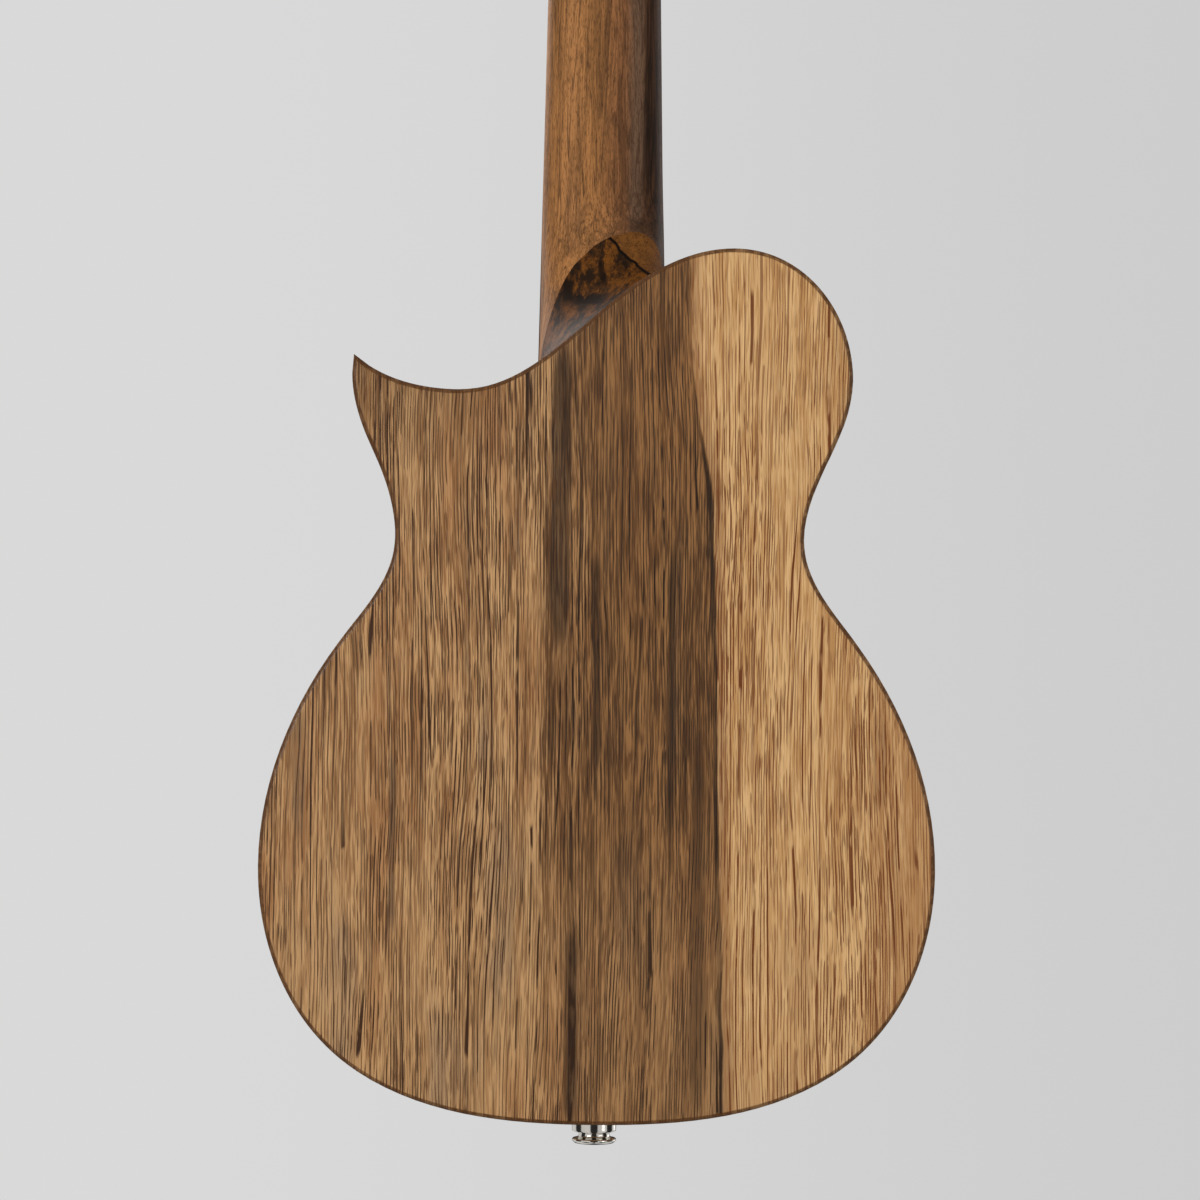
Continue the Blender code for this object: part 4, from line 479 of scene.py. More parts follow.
def neck_wood(name, woods):
    """Orange-brown neck wood with dense fine pores, and cool and blackish streaks on its bass side."""
    finish = Finish(name, 0.5)
    finish.set("Specular IOR Level", 0.12)
    x, y, z = finish.axes(finish.position)
    waves = (((16, 16, 5), 0.009), ((60, 60, 12), 0.0034), ((300, 300, 40), 0.0008))
    warped = wander(finish, x, finish.position, waves)
    grain = finish.vector(warped, y, z)
    fibre = finish.noise(grain, (1500, 1100, 48), 3, 0.65)
    band = finish.noise(grain, (170, 170, 9), 3, 0.55)
    tone = finish.between(finish.average(fibre, band), 0.4, 0.6)

    def toned(colour, low, high):
        return finish.mix(tone, shaded(colour, low), shaded(colour, high))

    warm = toned(woods.neck_warm, 0.58, 1.1)
    deep = toned(woods.neck_deep, 0.52, 1.16)
    colour = finish.mix(finish.between(warped, 0.006, -0.005), warm, deep)
    neck_only = finish.between(warped, -0.031, -0.024)  # the streaks end within the headstock
    cool = finish.times(finish.between(warped, -0.0050, -0.0090), neck_only)
    colour = finish.mix(finish.times(cool, 0.9), colour, toned(woods.neck_cool, 0.55, 1.2))
    black = finish.between(band, 0.62, 0.5, 0.75, 1)
    black = finish.times(finish.between(warped, -0.0105, -0.0125), neck_only, black)
    colour = finish.mix(black, colour, toned(woods.neck_black, 0.3, 1.6))
    bass_half = finish.between(warped, -0.003, -0.010)
    above_heel = finish.between(z, -0.2155, -0.2075)
    near_heel = finish.times(finish.between(z, -0.203, -0.2085), bass_half, above_heel)
    colour = finish.mix(finish.times(near_heel, 0.8), colour, toned(woods.neck_black, 0.3, 1.0))
    pores = finish.between(finish.noise(grain, (3000, 3000, 430), 1, 0.5, (9, 4, 2)), 0.54, 0.62)
    colour = finish.mix(finish.times(pores, 0.42), colour, shaded(woods.neck_black, 0.7))
    lines = finish.times(thin_lines(finish, grain, (520, 520, 24), 0.06), finish.between(fibre, 0.44, 0.56))
    colour = finish.mix(finish.times(lines, 0.65), colour, shaded(woods.neck_black, 0.8))
    finish.set("Base Color", colour)
    finish.set("Roughness", finish.math("MULTIPLY_ADD", pores, 0.1, 0.52))
    finish.bump(finish.math("MULTIPLY_ADD", pores, -1, finish.times(fibre, 0.4)), 0.00008, 0.5)
    return finish.material


# The heel's blackish patches: place across, height, half width and half height in mm, and strength
HEEL_PATCHES = (
    (12.0, -230.5, 3.2, 7.0, 0.95),
    (5.0, -234.4, 8.0, 2.6, 0.95),
    (0.5, -224.8, 1.6, 6.5, 0.85),
    (-6.8, -222.5, 3.4, 3.4, 0.45),
    (9.0, -222.0, 2.4, 3.0, 0.4),
)
PATCH_CORE = 0.4  # share of a patch's half sizes that has its full strength


def heel_wood(name, woods):
    """The stacked heel: ochre with blackish figure, cut across its rings, and a paler bass side, with a
    painted sheen, greyer and darker, along its foot.
    """
    finish = Finish(name, 0.6)
    finish.set("Specular IOR Level", 0.07)
    x, y, z = finish.axes(finish.position)
    waves = (((55, 55, 45), 0.006), ((160, 160, 90), 0.003), ((500, 500, 400), 0.0008))
    warped = wander(finish, x, finish.position, waves)
    grain = finish.vector(warped, y, z)
    rings = finish.noise(grain, (560, 300, 200), 3, 0.65)
    blotch = finish.noise(grain, (150, 90, 90), 3, 0.6, (4, 1, 6))
    tone = finish.between(finish.average(rings, blotch), 0.42, 0.62)
    colour = finish.mix(tone, woods.heel_dark, woods.heel_light)
    upright = finish.sway(z, rings, 0.006)
    for place, height, half, half_height, strength in HEEL_PATCHES:
        across = finish.distance(warped, place * MM)
        up = finish.distance(upright, height * MM)
        across = finish.between(across, half * MM, half * PATCH_CORE * MM)
        up = finish.between(up, half_height * MM, half_height * PATCH_CORE * MM)
        mask = finish.times(across, up)
        colour = finish.mix(finish.times(mask, strength), colour, shaded(woods.heel_dark, 0.35))
    # Painted sheen: a greyer, darker band along the heel's foot by the body's edge.
    foot = finish.between(y, 0.043, 0.052, 0, 0.75)
    colour = finish.mix(foot, colour, finish.mix(tone, shaded(woods.heel_foot_sheen, 0.5), woods.heel_foot_sheen))
    slope, start = -0.971, 0.2035  # of the seam between the two woods, and where it meets z = 0
    seam = finish.math("SUBTRACT", finish.math("MULTIPLY_ADD", z, slope, warped), start)
    bass_side = finish.between(seam, 0.0006, -0.0006)
    calm = finish.mix(tone, shaded(woods.heel_pale, 0.66), woods.heel_pale)
    colour = finish.mix(bass_side, colour, calm)
    seam_line = finish.between(finish.distance(seam, 0.0003), 0.0011, 0.0005)
    colour = finish.mix(seam_line, colour, shaded(woods.heel_dark, 0.25))
    dots = finish.add("TexVoronoi")
    finish.feed(dots.inputs["Vector"], finish.stretch(finish.position, (1500, 900, 1300)))
    finish.feed(dots.inputs["Scale"], 1.0)
    dark_dots = finish.between(dots.outputs[0], 0.4, 0.22)
    colour = finish.mix(finish.times(dark_dots, 0.65), colour, shaded(woods.heel_dark, 0.5))
    finish.set("Base Color", colour)
    finish.bump(finish.math("MULTIPLY_ADD", dark_dots, -1, rings), 0.00008, 0.5)
    return finish.material


def spruce_wood(name, woods):
    """Pale braces and linings with fine rings."""
    finish = Finish(name, 0.66)
    rings = finish.noise(finish.position, (520, 520, 60), 2, 0.5)
    soft = finish.noise(finish.position, (60, 60, 20), 2, 0.5)
    tone = finish.line(finish.average(rings, soft, 0.6), 0.38, 0.62, 0, 1)
    colour = finish.mix(tone, shaded(woods.spruce, 0.72), shaded(woods.spruce, 1.08))
    finish.set("Base Color", colour)
    finish.bump(rings, 0.0001, 0.4)
    return finish.material


def rosewood_finish(name, woods):
    """Dark rosewood with lighter streaks and fine open pores."""
    finish = Finish(name, 0.42)
    x, y, z = finish.axes(finish.position)
    warped = wander(finish, x, finish.position, (((30, 30, 8), 0.006),))
    grain = finish.vector(warped, y, z)
    band = finish.noise(grain, (330, 330, 12), 3, 0.6)
    fibre = finish.noise(grain, (1500, 1500, 50), 2, 0.6)
    tone = finish.line(finish.average(band, fibre, 0.6), 0.38, 0.64, 0, 1)
    colour = finish.mix(tone, shaded(woods.rosewood, 0.45), shaded(woods.rosewood, 1.5))
    pores = finish.between(finish.noise(grain, (2200, 2200, 90), 1, 0.5, (2, 8, 4)), 0.58, 0.68)
    colour = finish.mix(finish.times(pores, 0.6), colour, shaded(woods.rosewood, 0.2))
    finish.set("Base Color", colour)
    finish.set("Roughness", finish.math("MULTIPLY_ADD", pores, 0.25, 0.38))
    finish.bump(finish.math("MULTIPLY_ADD", pores, -1, finish.times(fibre, 0.3)), 0.0001, 0.5)
    return finish.material


def metal(name, colour, roughness):
    """Plated metal with a faint cloudiness and fine wear."""
    finish = Finish(name, roughness, 1.0)
    cloud = finish.noise(finish.position, (260, 260, 260), 3, 0.6)
    colour = finish.mix(finish.between(cloud, 0.4, 0.75, 0, 0.35), tuple(colour), shaded(colour, 0.72))
    finish.set("Base Color", colour)
    finish.set("Roughness", finish.line(cloud, 0.3, 0.7, roughness * 0.75, roughness * 1.3))
    return finish.material


def bone_finish(name, hardware):
    """Bone with faint warm fibres."""
    finish = Finish(name, 0.34)
    fibre = finish.noise(finish.position, (260, 1400, 1400), 3, 0.6)
    warmth = finish.between(fibre, 0.4, 0.7)
    colour = finish.mix(warmth, tuple(hardware.bone), shaded(hardware.bone, 0.82))
    finish.set("Base Color", colour)
    finish.bump(fibre, 0.00005, 0.3)
    return finish.material


def string_finish(name, hardware):
    """Clear, slightly milky string."""
    finish = Finish(name, 0.18)
    milk = finish.noise(finish.position, (900, 900, 60), 2, 0.5)
    colour = finish.mix(milk, tuple(hardware.string), shaded(hardware.string, 0.9))
    finish.set("Base Color", colour)
    finish.set("Transmission Weight", 0.35)
    finish.set("IOR", 1.42)
    return finish.material


def carbon_finish(name):
    """The neck's carbon bar: a fine dark weave."""
    finish = Finish(name, 0.4)
    weave = finish.noise(finish.position, (1200, 1200, 400), 2, 0.5)
    finish.set("Base Color", finish.mix(weave, linear(22, 22, 24), linear(46, 46, 48)))
    return finish.material


def lead_finish(name):
    """The pickup lead's soft jacket."""
    finish = Finish(name, 0.55)
    grain = finish.noise(finish.position, (1500, 1500, 1500), 2, 0.5)
    finish.set("Base Color", finish.mix(grain, linear(34, 34, 36), linear(52, 52, 54)))
    finish.bump(grain, 0.00004, 0.3)
    return finish.material


def material(name):
    """The named finish, made when it is first asked for."""
    found = bpy.data.materials.get("look_" + name)
    if found:
        return found
    scene = bpy.context.scene
    woods, hardware = scene.ukulele_woods, scene.ukulele_hardware
    made_name = "look_" + name
    if name in ("back_limba", "front_limba"):
        return limba(made_name, woods, name == "front_limba")
    wooden = {
        "limba_side": side_wood,
        "oiled_neck_wood": neck_wood,
        "dark_heel_wood": heel_wood,
        "spruce_and_cedar": spruce_wood,
        "rosewood": rosewood_finish,
    }
    if name in wooden:
        return wooden[name](made_name, woods)
    if name == "nickel_plate":
        return metal(made_name, hardware.nickel, 0.11)
    if name == "brass":
        return metal(made_name, hardware.brass, 0.26)
    if name == "bone":
        return bone_finish(made_name, hardware)
    if name == "clear_string":
        return string_finish(made_name, hardware)
    return {"carbon_bar": carbon_finish, "lead_jacket": lead_finish}[name](made_name)


def read_shape(node):
    """A copy of a CAD node with its triangles joined and its flat faces made whole."""
    bm = bmesh.new()
    bm.from_mesh(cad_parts[node].data)
    bmesh.ops.remove_doubles(bm, verts=bm.verts, dist=SAME_POINT)
    bmesh.ops.dissolve_limit(bm, angle_limit=math.radians(1), verts=[], edges=bm.edges)
    return bm


def make_piece(bm, name, finish, slot, body="instrument", nodes=()):
    """Turns a bmesh into a piece: smooth between sharp edges, on its body, standing for its CAD nodes."""
    bmesh.ops.remove_doubles(bm, verts=bm.verts, dist=SAME_POINT)
    bmesh.ops.dissolve_degenerate(bm, edges=bm.edges, dist=SAME_POINT)
    bmesh.ops.recalc_face_normals(bm, faces=bm.faces)
    mesh = bpy.data.meshes.new(name)
    bm.to_mesh(mesh)
    bm.free()
    mesh.shade_smooth()
    mesh.set_sharp_from_angle(angle=SHARP)
    mesh.materials.append(material(finish))
    made = bpy.data.objects.new(name, mesh)
    bpy.context.scene.collection.objects.link(made)
    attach(made, body)
    if nodes:
        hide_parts(*nodes)
    return made


def cut(made, tools):
    """Cuts tool shapes out of a piece, and drops the tools."""
    for i, tool in enumerate(tools):
        bmesh.ops.recalc_face_normals(tool, faces=tool.faces)
        mesh = bpy.data.meshes.new(f"{made.name}_tool_{i}")
        tool.to_mesh(mesh)
        tool.free()
        helper = bpy.data.objects.new(mesh.name, mesh)
        bpy.context.scene.collection.objects.link(helper)
        modifier = made.modifiers.new("cut", "BOOLEAN")
        modifier.operation = "DIFFERENCE"
        modifier.object = helper
    depsgraph = bpy.context.evaluated_depsgraph_get()
    mesh = bpy.data.meshes.new_from_object(made.evaluated_get(depsgraph))
    for modifier in list(made.modifiers):
        bpy.data.objects.remove(modifier.object, do_unlink=True)
    made.modifiers.clear()
    made.data = mesh
    mesh.set_sharp_from_angle(angle=SHARP)


def keep_node(node, finish):
    """A CAD node whose shape is right keeps it and gets its finish."""
    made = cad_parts[node]
    for place in made.material_slots:
        place.material = material(finish)


def bevel(bm, edges, offset, segments=2):
    bmesh.ops.bevel(
        bm, geom=list(edges), offset=offset, segments=segments, profile=0.5, affect="EDGES", material=-1,
        clamp_overlap=True,
    )


def sharp_edges(bm, degrees=35):
    limit = math.radians(degrees)
    return [e for e in bm.edges if len(e.link_faces) == 2 and e.calc_face_angle(0) > limit]


def skin(rings):
    """A skin over rings of points. It is closed where each end ring is drawn to a line or a point."""
    columns, rows = len(rings[0]), len(rings)
    bm = bmesh.new()
    bmesh.ops.create_grid(bm, x_segments=columns, y_segments=rows - 1, size=0.5)
    for vert in bm.verts:
        column = round((vert.co.x + 0.5) * columns) % columns
        row = round((vert.co.y + 0.5) * (rows - 1))
        vert.co = rings[row][column]
    return bm


def lathe(profile, steps, axis="Z", centre=(0, 0, 0)):
    """Turns a profile of (radius, height) points about an axis through centre."""
    bm = bmesh.new()
    verts = [bm.verts.new((radius, 0, height)) for radius, height in profile]
    edges = [bm.edges.new(pair) for pair in zip(verts, verts[1:])]
    bmesh.ops.spin(
        bm, geom=verts + edges, cent=(0, 0, 0), axis=(0, 0, 1), angle=2 * math.pi, steps=steps, use_merge=True
    )
    bmesh.ops.remove_doubles(bm, verts=bm.verts, dist=SAME_POINT)
    quarter = math.pi / 2
    turn = {"Z": Matrix(), "Y": Matrix.Rotation(-quarter, 4, "X"), "X": Matrix.Rotation(quarter, 4, "Y")}
    bmesh.ops.transform(bm, matrix=Matrix.Translation(centre) @ turn[axis], verts=bm.verts)
    return bm


def from_mm(points, radius=0.0, height=0.0):
    """Profile points given in mm, moved out to a radius and along to a height."""
    return [(radius + r * MM, height + h * MM) for r, h in points]


def block(low, high):
    bm = bmesh.new()
    bmesh.ops.create_cube(bm, size=1)
    low, high = Vector(low), Vector(high)
    bmesh.ops.scale(bm, verts=bm.verts, vec=high - low)
    bmesh.ops.translate(bm, verts=bm.verts, vec=(low + high) / 2)
    return bm


def prism(points, offset):
    """A flat outline of 3-D points pushed along an offset."""
    bm = bmesh.new()
    face = bm.faces.new([bm.verts.new(p) for p in points])
    pushed = bmesh.ops.extrude_face_region(bm, geom=[face])["geom"]
    bmesh.ops.translate(bm, verts=[v for v in pushed if isinstance(v, bmesh.types.BMVert)], vec=offset)
    return bm


def tube(points, radius, sides=10, pieces=6):
    """A round strand along a smooth path through points, closed at both ends."""
    points = [Vector(p) for p in points]
    last = len(points) - 1
    tangents = [(points[min(i + 1, last)] - points[max(i - 1, 0)]) / 6 for i in range(last + 1)]
    path = []
    for i in range(last):
        start, end = points[i], points[i + 1]
        path += interpolate_bezier(start, start + tangents[i], end - tangents[i + 1], end, pieces + 1)[:-1]
    path.append(points[-1])
    across = Vector((1, 0, 0))
    rings = []
    for i, here in enumerate(path):
        along = (path[min(i + 1, len(path) - 1)] - path[max(i - 1, 0)]).normalized()
        across = (across - along * across.dot(along)).normalized()
        other = along.cross(across)
        angles = [2 * math.pi * k / sides for k in range(sides)]
        rings.append([here + (across * math.cos(a) + other * math.sin(a)) * radius for a in angles])
    return skin([[path[0]] * sides, *rings, [path[-1]] * sides])


def join(shapes):
    """Several bmeshes as one."""
    whole = bmesh.new()
    for shape in shapes:
        mesh = bpy.data.meshes.new("part")
        shape.to_mesh(mesh)
        shape.free()
        whole.from_mesh(mesh)
        bpy.data.meshes.remove(mesh)
    return whole


def turn_at(before, here, after):
    """The angle by which a path turns at a point."""
    return (here - before).angle(after - here)


def faired(points, pieces=3, corner=math.radians(25), least=4.2 * MM):
    """A closed outline with smooth curves through its points, apart from its sharp corners."""
    points = [Vector(p) for p in points]
    count = len(points)
    corners = [turn_at(points[i - 1], points[i], points[(i + 1) % count]) > corner for i in range(count)]
    tangents = []
    for i, here in enumerate(points):
        before, after = here - points[i - 1], points[(i + 1) % count] - here
        whole = before.length + after.length
        tangents.append(
            (before.normalized() * after.length + after.normalized() * before.length).normalized() * whole
        )
    fine = []
    for i, start in enumerate(points):
        j = (i + 1) % count
        end = points[j]
        chord = end - start
        along = chord.normalized()
        leave, arrive = tangents[i].normalized(), tangents[j].normalized()
        if corners[i]:
            leave = (2 * along - arrive).normalized() if not corners[j] else along
        if corners[j]:
            arrive = (2 * along - leave).normalized()
        steps = pieces
        if corners[i] or corners[j]:
            steps = max(1, min(pieces, int(chord.length / least)))
        reach = chord.length / 3
        fine += interpolate_bezier(start, start + leave * reach, end - arrive * reach, end, steps + 1)[:-1]
    return [Vector(p[:2]) for p in fine]


def inset(outline, distance):
    """A closed counter-clockwise outline moved inwards, with mitred corners."""
    moved = []
    count = len(outline)
    for i, here in enumerate(outline):
        before, after = here - outline[i - 1], outline[(i + 1) % count] - here
        normals = [Vector((-d.y, d.x)).normalized() for d in (before, after)]
        normal = (normals[0] + normals[1]) / 2
        moved.append(here + normal * (distance / normal.length_squared))
    return moved


def body_outline():
    """The body's outline as (x, z) points, counter-clockwise seen from the front, from the horn's tip."""
    bm = read_shape("back_plate")
    inner = max((f for f in bm.faces if f.normal.y < -0.9), key=lambda f: f.calc_area())
    points = [Vector((v.co.x, v.co.z)) for v in inner.verts]
    bm.free()
    count = len(points)
    turns = [turn_at(points[i - 1], points[i], points[(i + 1) % count]) for i in range(count)]
    tip = turns.index(max(turns))
    return faired(points[tip:] + points[:tip])


def plate(outline, outside, inside, settings):
    """A plate with a rounded outer edge, between two y levels."""
    bm = prism([(x, inside, z) for x, z in outline], (0, outside - inside, 0))
    rim = [e for e in sharp_edges(bm) if all(abs(v.co.y - outside) < SAME_POINT for v in e.verts)]
    bevel(bm, rim, settings.edge_radius, settings.edge_steps)
    return bm


class UKULELE_OT_plates(bpy.types.Operator):
    """Back and soundboard, with the soundhole and the ring inlaid round it"""

    bl_idname = "ukulele.plates"
    bl_label = "Back and Soundboard"

    def execute(self, context):
        body = context.scene.ukulele_body
        outline = body_outline()
        low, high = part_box("back_plate")
        back = plate(outline, high.y, low.y, body)
        make_piece(back, "back", "back_limba", "figured_limba", nodes=["back_plate"])
        low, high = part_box("top_plate")
        top = plate(outline, low.y, high.y, body)
        top = make_piece(top, "soundboard", "front_limba", "figured_limba", nodes=["top_plate"])
        radius, centre = body.hole_radius, Vector((0, 0, body.hole_drop))
        edge = body.hole_edge
        steps = 4
        angles = [math.pi / 2 * i / steps for i in range(steps + 1)]
        quarter = [(radius + edge * (1 - math.sin(a)), low.y + edge * (1 - math.cos(a))) for a in angles]
        profile = [(0, low.y - MM), (quarter[0][0], low.y - MM), *quarter, (radius, high.y + MM)]
        cut(top, [lathe(profile + [(0, high.y + MM)], TURN_STEPS, "Y", centre)])
        start, width = body.rosette_start, body.rosette_width
        line = 0.5 * MM
        rings = (
            ("rosette_band", start + line, start + width - line, "rosewood"),
            ("rosette_line_inner", start, start + line, "bone"),
            ("rosette_line_outer", start + width - line, start + width, "bone"),
        )
        proud, sunk = low.y - 0.03 * MM, low.y + 0.4 * MM
        for name, inner, outer, finish in rings:
            ring = [(inner, proud), (outer, proud), (outer, sunk), (inner, sunk), (inner, proud)]
            make_piece(lathe(ring, TURN_STEPS, "Y", centre), name, finish, finish)
        return {"FINISHED"}


class UKULELE_OT_sides(bpy.types.Operator):
    """Three bent sides, with their grain along the rim"""

    bl_idname = "ukulele.sides"
    bl_label = "Bent Sides"

    def execute(self, context):
        outline = body_outline()
        inner = inset(outline, context.scene.ukulele_body.side_thickness)
        front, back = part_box("top_plate")[1].y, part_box("back_plate")[0].y
        count = len(outline)
        arcs = [0.0]
        for a, b in zip(outline, outline[1:] + outline[:1]):
            arcs.append(arcs[-1] + (b - a).length)
        middle = sum(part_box("back_plate"), Vector()).z / 2
        top_seam = min((i for i in range(count) if outline[i].y > middle), key=lambda i: abs(outline[i].x))
        tail_seam = min((i for i in range(count) if outline[i].y < middle), key=lambda i: abs(outline[i].x))
        runs = {
            "side_cutaway": range(0, top_seam + 1),
            "side_bass": range(top_seam, tail_seam + 1),
            "side_treble": range(tail_seam, count + 1),
        }
        for name, run in runs.items():
            bm = bmesh.new()
            uv = bm.loops.layers.uv.new("UVMap")
            places = {}
            rows = []
            for path in (outline, inner):
                verts = []
                for i in run:
                    x, z = path[i % count]
                    verts.append(bm.verts.new((x, front, z)))
                    places[(round(x, 6), round(z, 6))] = arcs[i]
                rows += [bm.edges.new(pair) for pair in zip(verts, verts[1:])]
            bmesh.ops.bridge_loops(bm, edges=rows)
            pushed = bmesh.ops.extrude_face_region(bm, geom=bm.faces[:])["geom"]
            moved = [v for v in pushed if isinstance(v, bmesh.types.BMVert)]
            bmesh.ops.translate(bm, verts=moved, vec=(0, back - front, 0))
            for face in bm.faces:
                for loop in face.loops:
                    x, y, z = loop.vert.co
                    loop[uv].uv = (places[(round(x, 6), round(z, 6))], y)
            make_piece(bm, "bent_" + name, "limba_side", "limba_side", nodes=[name])
        return {"FINISHED"}


class UKULELE_OT_inside(bpy.types.Operator):
    """Blocks, linings, braces and the pickup's parts keep their CAD shapes and get their finishes"""

    bl_idname = "ukulele.inside"
    bl_label = "Inside the Body"

    def execute(self, context):
        plain = {
            "spruce_and_cedar": ("lining", "brace", "top_bar", "bridge_plate", "block"),
            "nickel_plate": ("pickup_strip", "jack_washer", "jack_nut", "jack_barrel"),
            "lead_jacket": ("pickup_lead",),
            "carbon_bar": ("neck_rod",),
            "clear_string": ("string_g", "string_c", "string_e", "string_a"),
        }
        for finish, words in plain.items():
            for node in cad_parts:
                if node != "heel_block" and any(word in node for word in words):
                    keep_node(node, finish)
        return {"FINISHED"}


def head_matrix(neck):
    """From the headstock's own frame to the model's."""
    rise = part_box("nut")[1].z
    return Matrix.Translation((0, 0, rise)) @ Matrix.Rotation(-neck.tilt, 4, "X")


def board_half_width(distance):
    """Half the width of the neck and fretboard at a distance below the nut."""
    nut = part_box("nut")[1].x
    low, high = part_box("fretboard")
    return nut + (high.x - nut) * distance / -low.z


def head_outline(neck, hardware):
    """The headstock's outline in its own frame, as (x, height) points from the nut's treble side."""
    bm = read_shape("headstock_overlay")
    bmesh.ops.transform(bm, matrix=head_matrix(neck).inverted(), verts=bm.verts)
    heights = (hardware.post_low, hardware.post_high)
    centres = [Vector((side * hardware.post_offset, height)) for side in (-1, 1) for height in heights]
    past_hole = 4 * MM
    points = []
    for vert in bm.verts:
        flat = Vector((vert.co.x, vert.co.z))
        if abs(vert.co.y) < ON_PLANE and all((flat - centre).length > past_hole for centre in centres):
            points.append(flat)
    bm.free()
    middle = Vector((0, (hardware.post_low + hardware.post_high) / 2))
    points.sort(key=lambda p: math.atan2(p.y - middle.y, p.x - middle.x))
    start = min(range(len(points)), key=lambda i: (points[i].y > MM, -points[i].x))
    return faired(points[start:] + points[:start], 2)


def reach_at(outline, height):
    """Half the width of an outline at a height, on the treble side."""
    for a, b in zip(outline, outline[1:]):
        if a.y <= height < b.y and a.x > 0:
            return a.x + (b.x - a.x) * (height - a.y) / (b.y - a.y)
    return 0.0


def height_at(outline, x):
    """The greatest height of an outline at a place across it."""
    found = []
    for a, b in zip(outline, outline[1:] + outline[:1]):
        if min(a.x, b.x) <= x < max(a.x, b.x):
            found.append(a.y + (b.y - a.y) * (x - a.x) / (b.x - a.x))
    return max(found) if found else max(p.y for p in outline if abs(p.x - x) < MM)


SIDE_STEPS = 16  # round each side of a section, up to the glue plane
BACK_STEPS = 20  # round its back, past the glue plane
NO_PLANE = 1  # metres, a glue plane that is too deep to meet a section
SQUARE = 20  # exponent of the headstock's nearly square sections
SWEEP_STEPS = 30
SHAFT_STEPS = 6
HEAD_STEPS = 12
HEAD_START = 24 * MM  # where the headstock's own sections begin
CORNER_DROP = 4 * MM  # below the headstock's corner, where its sections stop being level
RAMP_END = 20 * MM  # up to which the headstock is a little thinner
RAMP_THINNING = 0.3 * MM

# Where the shaft turns into the headstock: height in mm, exponent of the section, and front in mm
HEAD_RAMP = (
    (0.2, 2.6, 0),
    (0.5, 2.65, 2),
    (2, 2.75, 2),
    (5, 3.1, 2),
    (9, 4, 2),
    (13, 5.5, 2),
    (18, 9, 2),
    (24, 16, 2),
)


def follow_share(neck, distance):
    """How fully a section at a distance above the joint follows the body's edge, from 1 to 0."""
    fade = max(0, min(1, (neck.follow - distance) / (neck.follow - neck.follow_start)))
    return fade * fade * (3 - 2 * fade)


def section(half, front, depth, roundness, plane):
    """Points (x, y) round the neck's back from treble to bass, with corners where it meets a glue plane."""
    share = (plane - front) / (depth - front)
    meets = math.asin(share ** (roundness / 2)) if share < 1 else math.pi / 2
    angles = [meets * i / SIDE_STEPS for i in range(SIDE_STEPS)]
    angles += [meets + (math.pi - 2 * meets) * i / BACK_STEPS for i in range(BACK_STEPS)]
    angles += [math.pi - meets + meets * i / SIDE_STEPS for i in range(SIDE_STEPS + 1)]
    points = []
    for angle in angles:
        c, s = math.cos(angle), max(0.0, math.sin(angle))
        x = math.copysign(half * abs(c) ** (2 / roundness), c)
        points.append((x, front + (depth - front) * s ** (2 / roundness)))
    return points


def closed_ring(points, front, place):
    """A section's back and its flat front, placed by a function of (x, y)."""
    back = [place(x, y) for x, y in points]
    return back + [place(x, front) for x, _ in points[-2:0:-1]]


def ends_drawn(rings):
    """The rings with a line added at each end, where the front meets the back."""
    whole = []
    for ring in (rings[0], rings[-1]):
        half = len(ring) // 2
        middle = list(ring)
        for i in range(1, half):
            middle[i] = middle[-i] = (Vector(ring[i]) + Vector(ring[-i])) / 2
        whole.append(middle)
    return [whole[0], *rings, whole[1]]


